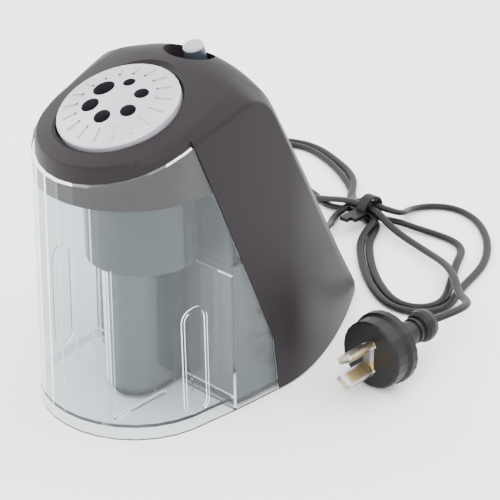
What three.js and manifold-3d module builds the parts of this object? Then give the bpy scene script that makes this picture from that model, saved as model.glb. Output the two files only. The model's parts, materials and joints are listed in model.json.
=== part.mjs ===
// Electric pencil sharpener with a tilted hole dial, a shavings receptacle and a helical cutter.
// Millimetres, +Z up, front towards -Y. The origin is on the table under the middle of the body.
import * as THREE from 'three';
import { mergeVertices } from 'three/addons/utils/BufferGeometryUtils.js';
import Module from 'manifold-3d';

const wasm = await Module();
wasm.setup();

// ---------------------------------------------------------------- driving dimensions
// Plan of the body: a half ellipse in front, a swell at the sides and a narrow rounded tail.
const FRONT_DEPTH = 50.8;          // front half ellipse, along Y
const FRONT_HALF_WIDTH = 53;       // front half ellipse, along X
const WIDEST_HALF_WIDTH = 57.5;
const WIDEST_BEHIND = 61;          // how far behind the ellipse's centre the body is widest
const TAIL_RADIUS = 17.8;
const TAIL_BEHIND = 156.9;         // centre of the tail's arc, behind the ellipse's centre
const WALL_TAPER = 0.022;          // the walls lean in by this much per millimetre of height

// Side view: a tilted top plane, a ridge and a sloping back.
const DIAL_TILT = 21.2;            // degrees between the top plane and the table
const DIAL_CENTRE = [-5.2, 167.8]; // the dial's rim plane meets its axis here (behind the ellipse's centre, height)
const RIDGE_START = 26.8;
const RIDGE_END = [67, 165];
const RIDGE_FALL = 63.6;           // degrees; slope of the back where the ridge ends
const TAIL_TOP = [168, 10];
const CROWN_AT = 46;
const NOSE_DROP = 4;               // the top plane dips by this much towards the front edge
const NOSE_FROM = 28;
const SEAM_DROP = 10.2;            // the receptacle's rim lies this far under the top plane
// Distance behind the ellipse's centre, then three measures of the shoulder at that place:
// bevel inset, how far the top falls away at CROWN_AT from the middle, depth of the wall's top edge.
const SHOULDER = [
  [-51, 2.5, 7.8, 10.2], [-15, 5.2, 5.5, 10.2], [15, 7.5, 5.8, 10.2], [32, 11.4, 7.2, 11.2], [45, 12.4, 10.5, 14.5],
  [60, 7.8, 9.9, 15.6], [90, 5.3, 8.4, 14.9], [140, 3.6, 7.6, 9.9], [175, 2, 5, 3.5],
];

const SHELL_WALL = 2.5;
const RECEPTACLE_WALL = 1.8;
const RECEPTACLE_FLOOR = 9.5;      // height of the receptacle's floor
const FLOOR_THICK = 2;
const REAR_WALL_AT = 20.5;         // front face of the receptacle's rear wall
const REAR_WALL_TOP = 80;
const COLUMN_AT = 1;               // the half-round column that the rear wall wraps round
const COLUMN_RADIUS = 14;
const WING_LINE = [[-1, 158.5], [49.5, 32.5], [53, 0]]; // where receptacle and side panels meet, in side view
const SKIRT_BOTTOM = 129.3;        // the shell's skirt inside the receptacle ends at this height
const RUN_GAP = 0.5;               // gap between the receptacle and what it slides past
const JOIN_GAP = 0.3;              // gap between pieces that touch

const GROUND_GAP = 0.8;            // shell and receptacle clear the table by this much
const FOOT_RADIUS = 7;
const BASE_TOP = 5;
const BASE_THICK = 2.6;

// Dial
const DIAL_RADIUS = 32.4;
const DIAL_RISE = 4.2;             // height of the dial's dome
const DIAL_THICK = 2;
const WELL_GAP = 1.2;
const WELL_DEPTH = 6;
const HOLE_CIRCLE = 13.3;
const HOLE_FIRST_ANGLE = -77;      // degrees; this hole stands over the cutter
const HOLE_RADII = [4.5, 4.2, 3.9, 3.3, 5.9, 4.9]; // anticlockwise from the first
const RIB_COUNT = 18;
const STEM_RADIUS = 4;

// Push button
const BUTTON_AT = [47.6, 185.4];   // middle of the button's top (behind the ellipse's centre, height)
const BUTTON_LEAN = 16;            // degrees forward from upright
const BUTTON_RADIUS = 5.7;
const BUTTON_TRAVEL = 3;
const DISH_HALF = [16, 10.3];      // half sizes of the oval dish round the button
const DISH_FORWARD = 3.3;          // the dish's middle lies this far in front of the button
const DISH_DEPTH = 12.5;           // dish floor under the button's top

// Cutter and drive; every axis is square to the dial
const GEAR_MODULE = 1;
const CARRIER_TEETH = 50;
const SMALL_TEETH = 12;
const LARGE_TEETH = 36;
const MOTOR_TEETH = 9;
const RING_TEETH = 30;
const PLANET_TEETH = 10;
const MOTOR_ALONG = 38;            // motor axis up the tilted plane from the dial's axis
const CARRIER_RADIUS = 16.5;
const PENCIL_BORE = 6.1;
const CUTTER_RADIUS = 4.8;
const CUTTER_LENGTH = 24;
const CUTTER_LEAN = 11.5;          // degrees between cutter and pencil
const RUNNING_FIT = 0.15;
const CUP_RADIUS = 30;
const CUP_WALL = 2;
const CUP_BOTTOM = 84;
const CUP_TOP = 128;
const HOUSING_TOP = 150;
const CUP_BEHIND = 6;
const STATOR_HALF = 20;
const ROTOR_RADIUS = 9;
const SHAFT_RADIUS = 1.6;

// Cord
const CORD_RADIUS = 2.6;
const EXIT_TURN = 25;              // degrees from straight back, towards the left
const EXIT_AT = [-12, 152, 20];
const PLUG_AT = [92.3, 86.6];
const PLUG_FLANGE = 21;
const PLUG_FACE = 19.5;
const PIN_LENGTH = 17;
const PIN_SPACING = 13.7;

const RELIEF_END = 34;             // how far the strain relief reaches along the cord
const RELIEF_TIP = 2.7;            // its radius there

const exitTurn = THREE.MathUtils.degToRad(EXIT_TURN);
const rearmost = EXIT_AT[1] + RELIEF_END * Math.cos(exitTurn) + RELIEF_TIP * Math.sin(exitTurn);
const BODY_MIDDLE = (rearmost - FRONT_DEPTH) / 2;
const tilt = THREE.MathUtils.degToRad(DIAL_TILT);
const FAR = 200;

// ---------------------------------------------------------------- materials
function material(color, roughness, metalness = 0, extra = {}) {
  return () => new THREE.MeshStandardMaterial({ color, roughness, metalness, ...extra });
}
const charcoal = material(0x544c57, 0.5);
const smoke = material(0x6f8288, 0.12, 0, { transparent: true, opacity: 0.45 });
const silver = material(0xd6d2d8, 0.38, 0.35);
const innerPlastic = material(0x4d6068, 0.45);
const nylon = material(0xe8e2d0, 0.55);
const steel = material(0x9a9ca0, 0.35, 0.9);
const darkSteel = material(0x55585c, 0.4, 0.85);
const brass = material(0xb99a52, 0.35, 0.9);
const copper = material(0xb06a3c, 0.4, 0.7);
const rubber = material(0x1f1f21, 0.85);
const cordBlack = material(0x1a1a1c, 0.55);
const clearSheath = material(0xd9dcdf, 0.25, 0, { transparent: true, opacity: 0.6 });

// ---------------------------------------------------------------- solids
function solid(geometry) {
  const bare = geometry.index ? geometry.toNonIndexed() : geometry.clone();
  bare.deleteAttribute('normal');
  bare.deleteAttribute('uv');
  const merged = mergeVertices(bare, 1e-4);
  return new wasm.Manifold(new wasm.Mesh({
    numProp: 3,
    vertProperties: merged.attributes.position.array,
    triVerts: new Uint32Array(merged.index.array),
  }));
}

function geometryOf(shape) {
  const mesh = shape.getMesh();
  const geometry = new THREE.BufferGeometry();
  geometry.setAttribute('position', new THREE.BufferAttribute(mesh.vertProperties, 3));
  geometry.setIndex(new THREE.BufferAttribute(mesh.triVerts, 1));
  geometry.computeVertexNormals();
  return geometry;
}

// Cuts leave a few edges of almost no length and triangles of almost no height. This closes the edges up
// and gives each flat triangle's ground to its neighbour, which moves no point by more than FINE.
const FINE = 0.004;

function tidied(geometry) {
  const points = geometry.attributes.position;
  let faces = [];
  for (let i = 0; i < geometry.index.count; i += 3) faces.push([0, 1, 2].map((k) => geometry.index.getX(i + k)));
  const at = (i) => new THREE.Vector3().fromBufferAttribute(points, i);
  const joined = new Map();
  const rootOf = (i) => (joined.has(i) ? rootOf(joined.get(i)) : i);
  for (const face of faces) {
    for (let k = 0; k < 3; k += 1) {
      const [a, b] = [rootOf(face[k]), rootOf(face[(k + 1) % 3])];
      if (a !== b && at(a).distanceTo(at(b)) < FINE) joined.set(Math.max(a, b), Math.min(a, b));
    }
  }
  faces = faces.map((face) => face.map(rootOf)).filter(([a, b, c]) => a !== b && b !== c && c !== a);
  for (let round = 0; round < 12 && turnFlatFaces(faces, at); round += 1);
  const made = new THREE.BufferGeometry();
  made.setAttribute('position', points.clone());
  made.setIndex(faces.flat());
  const clean = made.toNonIndexed();
  clean.computeVertexNormals();
  return clean;
}

// Turns the long edge of each flat triangle; says whether there was one.
function turnFlatFaces(faces, at) {
  const owner = new Map();
  faces.forEach((face, f) => face.forEach((a, k) => owner.set(`${a} ${face[(k + 1) % 3]}`, f)));
  const touched = new Set();
  let found = false;
  for (let f = 0; f < faces.length; f += 1) {
    const lengths = faces[f].map((a, k) => at(a).distanceTo(at(faces[f][(k + 1) % 3])));
    const longest = lengths.indexOf(Math.max(...lengths));
    const [p, q, c] = [0, 1, 2].map((k) => faces[f][(longest + k) % 3]);
    const height = new THREE.Triangle(at(p), at(q), at(c)).getArea() * 2 / lengths[longest];
    const other = owner.get(`${q} ${p}`);
    if (height < FINE && other !== undefined && !touched.has(f) && !touched.has(other)) {
      const d = faces[other].find((v) => v !== p && v !== q);
      if (!owner.has(`${c} ${d}`) && !owner.has(`${d} ${c}`)) {
        faces[f] = [p, d, c];
        faces[other] = [d, q, c];
        owner.set(`${c} ${d}`, f);
        touched.add(f).add(other);
        found = true;
      }
    }
  }
  return found;
}

function sum(first, ...rest) {
  return rest.reduce((made, next) => made.add(next), first);
}

function less(first, ...rest) {
  return rest.reduce((made, next) => made.subtract(next), first);
}

// A cylinder about Z from low to high; a second radius makes a cone.
function rod(radius, low, high, x = 0, y = 0, sides = 24, topRadius = radius) {
  const geometry = new THREE.CylinderGeometry(topRadius, radius, high - low, sides);
  return solid(geometry.rotateX(Math.PI / 2).translate(x, y, (low + high) / 2));
}

function block(x0, x1, y0, y1, z0, z1) {
  const geometry = new THREE.BoxGeometry(x1 - x0, y1 - y0, z1 - z0);
  return solid(geometry.translate((x0 + x1) / 2, (y0 + y1) / 2, (z0 + z1) / 2));
}

function prism(points, low, high) {
  const shape = new THREE.Shape(points.map(([x, y]) => new THREE.Vector2(x, y)));
  const geometry = new THREE.ExtrudeGeometry(shape, { depth: high - low, bevelEnabled: false });
  return solid(geometry.translate(0, 0, low));
}

// A (behind, height) outline, carried across the whole width.
function sidePrism(points, halfWidth = FAR) {
  const shape = new THREE.Shape(points.map(([y, z]) => new THREE.Vector2(y, z)));
  const geometry = new THREE.ExtrudeGeometry(shape, { depth: 2 * halfWidth, bevelEnabled: false });
  geometry.translate(0, 0, -halfWidth);
  const axes = new THREE.Matrix4().makeBasis(
    new THREE.Vector3(0, 1, 0), new THREE.Vector3(0, 0, 1), new THREE.Vector3(1, 0, 0));
  return solid(geometry.applyMatrix4(axes));
}

function turned(profile, sides = 32) {
  return new THREE.LatheGeometry(profile.map(([r, z]) => new THREE.Vector2(r, z)), sides).rotateX(Math.PI / 2);
}

function tilted(shape) {
  return move(shape, tiltedFrame());
}

function move(shape, matrix) {
  return solid(geometryOf(shape).applyMatrix4(matrix));
}

// The dial's own frame: origin where its axis meets the rim plane, Z out along the axis.
function tiltedFrame() {
  const frame = new THREE.Matrix4().makeRotationX(tilt);
  return frame.setPosition(0, DIAL_CENTRE[0], DIAL_CENTRE[1]);
}

// ---------------------------------------------------------------- the body's outer form
// Right half of the plan, from the middle of the front to the middle of the tail.
function halfPlan() {
  const tailAngle = THREE.MathUtils.degToRad(33);
  const tailStart = [TAIL_RADIUS * Math.cos(tailAngle), TAIL_BEHIND + TAIL_RADIUS * Math.sin(tailAngle)];
  const handle = 40;
  const path = new THREE.Path();
  path.absellipse(0, 0, FRONT_HALF_WIDTH, FRONT_DEPTH, -Math.PI / 2, 0, false);
  path.bezierCurveTo(FRONT_HALF_WIDTH + 1.6, 10, WIDEST_HALF_WIDTH, WIDEST_BEHIND - 26,
    WIDEST_HALF_WIDTH, WIDEST_BEHIND);
  path.bezierCurveTo(WIDEST_HALF_WIDTH, WIDEST_BEHIND + 28,
    tailStart[0] + handle * Math.sin(tailAngle), tailStart[1] - handle * Math.cos(tailAngle),
    tailStart[0], tailStart[1]);
  path.absarc(0, TAIL_BEHIND, TAIL_RADIUS, tailAngle, Math.PI / 2, false);
  return path;
}

const PLAN_STEPS = 26;
const planPath = halfPlan();
const planSamples = Array.from({ length: PLAN_STEPS + 1 }, (_, i) => {
  const at = i / PLAN_STEPS;
  const tangent = planPath.getTangentAt(at);
  if (i === 0) tangent.set(1, 0);
  if (i === PLAN_STEPS) tangent.set(-1, 0);
  const point = planPath.getPointAt(at);
  return { x: point.x, y: point.y, nx: tangent.y, ny: -tangent.x };
});

// A plan point moved in by the inset and by the wall's lean at that height.
function wallPoint(sample, height, inset) {
  const inward = inset + WALL_TAPER * height;
  return [Math.max(sample.x - sample.nx * inward, 0), sample.y - sample.ny * inward];
}

// Middle line of the top, in (behind, height).
function topLine() {
  const rise = Math.tan(tilt);
  const onPlane = (y) => [y, DIAL_CENTRE[1] + rise * (y - DIAL_CENTRE[0])];
  const start = onPlane(RIDGE_START);
  const path = new THREE.Path();
  path.moveTo(...onPlane(-FRONT_DEPTH - 20));
  path.lineTo(...start);
  const fall = THREE.MathUtils.degToRad(RIDGE_FALL);
  const [endY, endZ] = RIDGE_END;
  path.bezierCurveTo(start[0] + 20.4 * Math.cos(tilt), start[1] + 20.4 * Math.sin(tilt),
    endY - 19.9 * Math.cos(fall), endZ + 19.9 * Math.sin(fall), endY, endZ);
  path.bezierCurveTo(endY + 60 * Math.cos(fall), endZ - 60 * Math.sin(fall),
    TAIL_TOP[0] - 35, TAIL_TOP[1] + 35.7, ...TAIL_TOP);
  path.lineTo(TAIL_TOP[0] + 8, TAIL_TOP[1] - 5);
  path.lineTo(TAIL_TOP[0] + 50, TAIL_TOP[1] - 29);
  return path;
}

const TOP_STEPS = 400;
const topPath = topLine();
const topSamples = Array.from({ length: TOP_STEPS + 1 }, (_, i) => {
  const at = i / TOP_STEPS;
  const point = topPath.getPointAt(at);
  const tangent = topPath.getTangentAt(at);
  return { y: point.x, z: point.y, ny: -tangent.y, nz: tangent.x };
});

// Smooth curve through one column of the shoulder's measures.
function shoulder(y, column) {
  const last = SHOULDER.length - 1;
  const at = THREE.MathUtils.clamp(y, SHOULDER[0][0], SHOULDER[last][0]);
  const beyond = SHOULDER.findIndex((row) => row[0] > at);
  const k = beyond < 0 ? last - 1 : Math.max(0, beyond - 1);
  const [before, from, to, after] = [k - 1, k, k + 1, k + 2].map((i) => SHOULDER[Math.min(last, Math.max(0, i))]);
  const span = to[0] - from[0];
  const slope = (p, q) => (q[0] > p[0] ? (q[column] - p[column]) / (q[0] - p[0]) * span : 0);
  const t = (at - from[0]) / span;
  const [t2, t3] = [t * t, t * t * t];
  return (2 * t3 - 3 * t2 + 1) * from[column] + (3 * t2 - 2 * t3) * to[column]
    + (t3 - 2 * t2 + t) * slope(before, to) + (t3 - t2) * slope(from, after);
}

// Height of the top at (x, y), or of a sheet that lies under it.
function sheetHeight(x, y, depthOf) {
  const at = (s) => {
    const depth = depthOf(x, s.y);
    return [s.y - s.ny * depth, s.z - s.nz * depth];
  };
  let low = 0;
  let high = TOP_STEPS;
  while (high - low > 1) {
    const middle = (low + high) >> 1;
    if (at(topSamples[middle])[0] < y) low = middle;
    else high = middle;
  }
  const [y0, z0] = at(topSamples[low]);
  const [y1, z1] = at(topSamples[high]);
  return z0 + (z1 - z0) * (y - y0) / (y1 - y0);
}

function crownDepth(x, y) {
  const nose = Math.max(0, -y - NOSE_FROM) / (FRONT_DEPTH - NOSE_FROM);
  return shoulder(y, 2) * (x / CROWN_AT) ** 2 + NOSE_DROP * nose ** 2;
}

const bevelDepth = (x, y) => shoulder(y, 3);
const bevelInset = (y) => shoulder(y, 1);

// A wall point on a sheet; the wall leans, so its place is found in a few steps.
function wallOnSheet(sample, inset, depthOf) {
  let height = 100;
  let point = wallPoint(sample, height, inset);
  for (let turn = 0; turn < 6; turn += 1) {
    height = sheetHeight(point[0], point[1], depthOf);
    point = wallPoint(sample, height, inset);
  }
  return [...point, height];
}

const CAP_STEPS = 3;

// The body's closed outer form, or the same form shrunk by a wall. Its bottom is flat.
function bodyForm(bottom, shrink) {
  const columns = planSamples.map((sample) => {
    const low = wallOnSheet(sample, shrink, (x, y) => bevelDepth(x, y) + shrink);
    const high = wallOnSheet(sample, bevelInset(sample.y) + shrink, (x, y) => crownDepth(x, y) + shrink);
    const column = [[...wallPoint(sample, 0, shrink), bottom], low, high];
    for (let step = 1; step <= CAP_STEPS; step += 1) {
      const x = high[0] * (1 - step / CAP_STEPS);
      column.push([x, high[1], sheetHeight(x, high[1], (px, py) => crownDepth(px, py) + shrink)]);
    }
    return column;
  });
  return solid(mirroredLoft(columns));
}

// Columns of points on the right half become one closed surface with its mirror image.
function mirroredLoft(columns) {
  const triangles = [];
  const quad = (a, b, c, d) => {
    for (const [p, q, r] of [[a, b, c], [a, c, d]]) {
      triangles.push(...p, ...q, ...r);
      triangles.push(-p[0], p[1], p[2], -r[0], r[1], r[2], -q[0], q[1], q[2]);
    }
  };
  for (let i = 0; i + 1 < columns.length; i += 1) {
    const here = columns[i];
    const next = columns[i + 1];
    for (let k = 0; k + 1 < here.length; k += 1) quad(here[k], next[k], next[k + 1], here[k + 1]);
    const underHere = [0, here[0][1], here[0][2]];
    const underNext = [0, next[0][1], next[0][2]];
    quad(underHere, underNext, next[0], here[0]);
  }
  const geometry = new THREE.BufferGeometry();
  geometry.setAttribute('position', new THREE.Float32BufferAttribute(triangles, 3));
  return withoutSlivers(geometry);
}

// Leaves out the triangles that shrink to a line where a column meets the middle plane.
function withoutSlivers(geometry) {
  const from = geometry.attributes.position;
  const kept = [];
  const corner = [0, 1, 2].map(() => new THREE.Vector3());
  for (let i = 0; i < from.count; i += 3) {
    corner.forEach((c, k) => c.fromBufferAttribute(from, i + k));
    const [a, b, c] = corner;
    if (Math.min(a.distanceTo(b), b.distanceTo(c), c.distanceTo(a)) > 1e-4) {
      corner.forEach((p) => kept.push(p.x, p.y, p.z));
    }
  }
  const clean = new THREE.BufferGeometry();
  clean.setAttribute('position', new THREE.Float32BufferAttribute(kept, 3));
  return clean;
}

// The leaning plan between two heights.
function wallBlock(inset, low, high) {
  const columns = planSamples.map((sample) => [
    [...wallPoint(sample, low, inset), low],
    [...wallPoint(sample, high, inset), high],
    [0, wallPoint(sample, high, inset)[1], high],
  ]);
  return solid(mirroredLoft(columns));
}

function wallRing(outerInset, innerInset, low, high) {
  return less(wallBlock(outerInset, low, high), wallBlock(innerInset, low - 1, high + 1));
}

function seamHeight(y, under = 0) {
  return DIAL_CENTRE[1] + Math.tan(tilt) * (y - DIAL_CENTRE[0]) - (SEAM_DROP + under) / Math.cos(tilt);
}

// Side view of the space in front of the panels and under the seam, shrunk by a gap.
function receptacleSpace(gap) {
  const [tip, knee, foot] = WING_LINE;
  return sidePrism([
    [-FRONT_DEPTH - 20, -20],
    [foot[0] - gap, -20],
    [foot[0] - gap, foot[1]],
    [knee[0] - gap, knee[1]],
    [tip[0] - gap, seamHeight(tip[0] - gap, gap)],
    [-FRONT_DEPTH - 20, seamHeight(-FRONT_DEPTH - 20, gap)],
  ]);
}

// ---------------------------------------------------------------- housing shell
const SKIRT_INSET = RECEPTACLE_WALL + RUN_GAP;
const WELL_RADIUS = DIAL_RADIUS + WELL_GAP;
const cutterAt = [
  HOLE_CIRCLE * Math.cos(THREE.MathUtils.degToRad(HOLE_FIRST_ANGLE)),
  HOLE_CIRCLE * Math.sin(THREE.MathUtils.degToRad(HOLE_FIRST_ANGLE)),
];
const POST_RADIUS = 4;
const postSpots = [];
for (const side of [-1, 1]) {
  postSpots.push([side * 48.4, 80], [side * 24, 138]);
}
const plateSpots = [[-33, -12], [-33, 24], [34, 0], [34, 26]];

function buttonFrame() {
  const frame = new THREE.Matrix4().makeRotationX(THREE.MathUtils.degToRad(BUTTON_LEAN));
  return frame.setPosition(0, ...BUTTON_AT);
}

// Oval bowl with steep sides; grow makes the thicker form that backs it.
function buttonDish(grow) {
  const floor = -DISH_DEPTH - grow;
  const profile = [[0, floor], [0.68, floor], [0.8, floor + 0.8], [0.87, floor + 2.8], [0.94, floor + 7],
    [1, floor + 12], [1.02, 14], [0, 14]];
  const bowl = turned(profile, 28).scale(DISH_HALF[0] + grow, DISH_HALF[1] + grow, 1);
  return solid(bowl.translate(0, -DISH_FORWARD, 0).applyMatrix4(buttonFrame()));
}

function startPin() {
  return rod(1.3, -WELL_DEPTH - 6.4, -WELL_DEPTH - 1, 21, -22, 16);
}

function housingShell() {
  const outer = bodyForm(GROUND_GAP, 0);
  const inFront = block(-FAR, FAR, -FAR, WING_LINE[0][0], -10, FAR + 20);
  const rimBand = wallRing(-4, SKIRT_INSET, -20, FAR).intersect(inFront);
  let shell = less(outer, bodyForm(-5, SHELL_WALL), receptacleSpace(0), rimBand);
  const skirtZone = block(-FAR, FAR, -FAR, WING_LINE[0][0] + 11, SKIRT_BOTTOM, FAR);
  const skirt = wallRing(SKIRT_INSET, SKIRT_INSET + 2.2, 100, FAR).intersect(skirtZone).intersect(outer);
  const wellCollar = tilted(rod(WELL_RADIUS + 2.2, -WELL_DEPTH + JOIN_GAP, 4, 0, 0, 36)).intersect(outer);
  const posts = postSpots.map(([x, y]) => rod(POST_RADIUS, BASE_TOP + JOIN_GAP, 24, x, y, 20));
  shell = sum(shell, skirt, wellCollar, buttonDish(2.2).intersect(outer));
  const standoffs = plateSpots.map(([x, y]) => tilted(rod(3, PLATE_TOP + JOIN_GAP, 0, x, y, 16)).intersect(outer));
  shell = sum(shell, ...posts.map((post) => post.intersect(outer)), ...standoffs);
  const cuts = [
    tilted(rod(WELL_RADIUS, -WELL_DEPTH - 3, 12, 0, 0, 36)),
    buttonDish(0),
    tilted(rod(WELL_RADIUS, -2.2, 2.8, 0, 0, 36, WELL_RADIUS + 5)),
    move(rod(BUTTON_RADIUS + 0.6, -30, 0), buttonFrame()),
    move(rod(BUTTON_RADIUS + 2.2, -30, -DISH_DEPTH - 2.2), buttonFrame()),
    cordHole(5.6),
  ];
  cuts.push(...postSpots.map(([x, y]) => rod(1.7, BASE_TOP, 20, x, y, 16)));
  return less(shell, ...cuts);
}

// Floor of the dial's well, under the shell's collar; the dial's stem and the pencil pass through it.
function dialSeat() {
  const low = -WELL_DEPTH - 2.2;
  const disc = tilted(rod(WELL_RADIUS + 1.8, low, -WELL_DEPTH, 0, 0, 36));
  const inside = bodyForm(-5, SHELL_WALL + JOIN_GAP);
  const around = [
    wallRing(SKIRT_INSET - JOIN_GAP, SKIRT_INSET + 2.2 + JOIN_GAP, 100, FAR)
      .intersect(block(-FAR, FAR, -FAR, WING_LINE[0][0] + 11 + JOIN_GAP, SKIRT_BOTTOM - 1, FAR)),
    buttonDish(2.2 + JOIN_GAP),
    ...plateSpots.map(([x, y]) => tilted(rod(3 + JOIN_GAP, PLATE_TOP, 0, x, y, 16))),
    tilted(rod(STEM_RADIUS + RUNNING_FIT, low - 2, 0, 0, 0, 20)),
    tilted(rod(PENCIL_BORE + 1, low - 2, 0, ...cutterAt, 20)),
  ];
  return sum(less(disc.intersect(inside), ...around), tilted(startPin()));
}

// ---------------------------------------------------------------- receptacle
const COLUMN_OUTSIDE = COLUMN_RADIUS + RUN_GAP + RECEPTACLE_WALL;

function stadium(halfWidth, bottom, top) {
  const shape = new THREE.Shape();
  shape.absarc(0, top - halfWidth, halfWidth, 0, Math.PI, false);
  shape.absarc(0, bottom + halfWidth, halfWidth, Math.PI, 2 * Math.PI, false);
  return shape;
}

// A raised rim round each finger grip, on both sides.
function gripRims() {
  const outline = stadium(7.8, 9.5, 72.5);
  outline.holes.push(new THREE.Path(stadium(6.2, 11.1, 70.9).getPoints(10)));
  const geometry = new THREE.ExtrudeGeometry(outline, { depth: 2 * FAR, bevelEnabled: false, curveSegments: 10 });
  geometry.translate(0, 0, -FAR);
  const axes = new THREE.Matrix4().makeBasis(
    new THREE.Vector3(0, 1, 0), new THREE.Vector3(0, 0, 1), new THREE.Vector3(1, 0, 0));
  const band = solid(geometry.applyMatrix4(axes).translate(0, -5, 0));
  return band.intersect(wallRing(-0.7, 0.4, 2, 90));
}

function rearBulge(radius, low, high) {
  return sum(
    rod(radius, low, high, 0, COLUMN_AT, 32),
    block(-radius, radius, COLUMN_AT, REAR_WALL_AT + RECEPTACLE_WALL, low, high));
}

function receptacle() {
  const space = receptacleSpace(RUN_GAP);
  const walls = wallRing(0, RECEPTACLE_WALL, GROUND_GAP, FAR).intersect(space);
  const inside = wallBlock(0.6, -5, FAR);
  const floorEnd = REAR_WALL_AT + RECEPTACLE_WALL;
  const floor = block(-FAR, FAR, -FAR, floorEnd, RECEPTACLE_FLOOR - FLOOR_THICK, RECEPTACLE_FLOOR);
  const rear = block(-FAR, FAR, REAR_WALL_AT, floorEnd, GROUND_GAP, REAR_WALL_TOP);
  const bulge = rearBulge(COLUMN_OUTSIDE, RECEPTACLE_FLOOR - FLOOR_THICK, REAR_WALL_TOP);
  const rail = block(24, 26, -38, -2, RECEPTACLE_FLOOR - 1, RECEPTACLE_FLOOR + 1.4);
  const fill = sum(floor, rear, bulge, rail).intersect(inside);
  const hollow = rearBulge(COLUMN_OUTSIDE - RECEPTACLE_WALL, -5, REAR_WALL_TOP + 5);
  const cut = sum(hollow, block(-COLUMN_RADIUS - RUN_GAP, COLUMN_RADIUS + RUN_GAP, REAR_WALL_AT - 1,
    floorEnd + 1, -5, REAR_WALL_TOP + 5));
  return less(sum(walls, fill, gripRims()), cut);
}

// ---------------------------------------------------------------- fixed inner frame
const BULKHEAD_AT = REAR_WALL_AT + RECEPTACLE_WALL + 1;
const BULKHEAD_THICK = 2;
const BULKHEAD_INSET = RECEPTACLE_WALL + RUN_GAP + 0.8;

function frontBulkhead() {
  const low = BASE_TOP + JOIN_GAP;
  const high = CUP_BOTTOM - JOIN_GAP;
  const zone = block(-FAR, FAR, BULKHEAD_AT, 62, low, high);
  const sides = wallRing(BULKHEAD_INSET, BULKHEAD_INSET + BULKHEAD_THICK, 0, 100).intersect(zone);
  const face = wallBlock(BULKHEAD_INSET, low, high)
    .intersect(block(-FAR, FAR, BULKHEAD_AT, BULKHEAD_AT + BULKHEAD_THICK, low, high));
  const column = sum(
    rod(COLUMN_RADIUS, low, high, 0, COLUMN_AT, 32),
    block(-COLUMN_RADIUS, COLUMN_RADIUS, COLUMN_AT, BULKHEAD_AT + BULKHEAD_THICK, low, high));
  const inner = COLUMN_RADIUS - BULKHEAD_THICK;
  const hollow = sum(
    rod(inner, low - 1, high - BULKHEAD_THICK, 0, COLUMN_AT, 32),
    block(-inner, inner, COLUMN_AT, BULKHEAD_AT + 10, low - 1, high - BULKHEAD_THICK));
  return less(sum(sides, face, column), hollow);
}

function basePlate() {
  const low = BASE_TOP - BASE_THICK;
  const plate = wallBlock(SHELL_WALL + 0.4, low, BASE_TOP)
    .intersect(block(-FAR, FAR, BULKHEAD_AT, TAIL_BEHIND + 4, low, BASE_TOP));
  const tongueHalf = COLUMN_RADIUS - 1;
  const tongue = sum(rod(tongueHalf, low, BASE_TOP, 0, COLUMN_AT, 32),
    block(-tongueHalf, tongueHalf, COLUMN_AT, BULKHEAD_AT + 1, low, BASE_TOP));
  const holes = postSpots.map(([x, y]) => rod(1.8, low - 1, BASE_TOP + 1, x, y, 16));
  const vents = [];
  for (let k = 0; k < 5; k += 1) vents.push(block(-18, 18, 62 + 9 * k, 66 + 9 * k, low - 1, BASE_TOP + 1));
  const wing = wallBlock(RECEPTACLE_WALL + 1.3, low, BASE_TOP);
  return less(sum(plate.intersect(wing), tongue), ...holes, ...vents);
}

function baseScrew(x, y) {
  const low = BASE_TOP - BASE_THICK;
  const profile = [[0, low - 2], [2.9, low - 2], [3.1, low - JOIN_GAP], [1.4, low - JOIN_GAP],
    [1.4, 18], [0, 18.8]];
  return turned(profile, 16).translate(x, y, 0);
}

function rubberFoot(x, y) {
  const low = BASE_TOP - BASE_THICK;
  const profile = [[0, 0], [FOOT_RADIUS - 1, 0], [FOOT_RADIUS, 1], [FOOT_RADIUS, low - JOIN_GAP], [0, low - JOIN_GAP]];
  return turned(profile, 20).translate(x, y, 0);
}

// Round cup about the lower part of the cutter, on a shouldered wall that closes off the machine room.
function cutterHousing() {
  const cup = less(rod(CUP_RADIUS, CUP_BOTTOM, CUP_TOP, cutterAt[0], CUP_BEHIND, 32),
    rod(CUP_RADIUS - CUP_WALL, CUP_BOTTOM - 1, CUP_TOP + 1, cutterAt[0], CUP_BEHIND, 32));
  const lip = less(rod(CUP_RADIUS - 1, CUP_BOTTOM, CUP_BOTTOM + 2, cutterAt[0], CUP_BEHIND, 32),
    rod(CUP_RADIUS - 6, CUP_BOTTOM - 1, CUP_BOTTOM + 3, cutterAt[0], CUP_BEHIND, 32));
  const wallAt = BULKHEAD_AT;
  const wall = wallBlock(SKIRT_INSET + 3, CUP_BOTTOM, HOUSING_TOP)
    .intersect(block(-FAR, FAR, wallAt, wallAt + 2, CUP_BOTTOM, HOUSING_TOP));
  const doorway = block(cutterAt[0] - 24, cutterAt[0] + 24, wallAt - 1, CUP_BEHIND + CUP_RADIUS + 9,
    CUP_TOP - 22, HOUSING_TOP + 1);
  const bridge = block(cutterAt[0] - 7, cutterAt[0] + 7, CUP_BEHIND - 29, CUP_BEHIND + 29,
    CUP_BOTTOM + 0.5, CUP_BOTTOM + 4.5);
  const journal = tilted(less(rod(5.2, -83, -70, ...cutterAt, 24), rod(2.9, -90, -69, ...cutterAt, 24)));
  const seat = journal.intersect(block(-FAR, FAR, -FAR, FAR, CUP_BOTTOM + 0.5, FAR));
  return less(sum(cup, lip, less(wall, rod(CUP_RADIUS - 1, CUP_BOTTOM - 1, CUP_TOP + 1, cutterAt[0], CUP_BEHIND, 32)),
    bridge, seat), doorway, tilted(rod(2.9, -82, -69, ...cutterAt, 24)));
}

// Plate that carries the gear train, the ring gear and the motor.
const PLATE_TOP = -21;
const PLATE_THICK = 2;
const PLATE_LOW = PLATE_TOP - PLATE_THICK;

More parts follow.
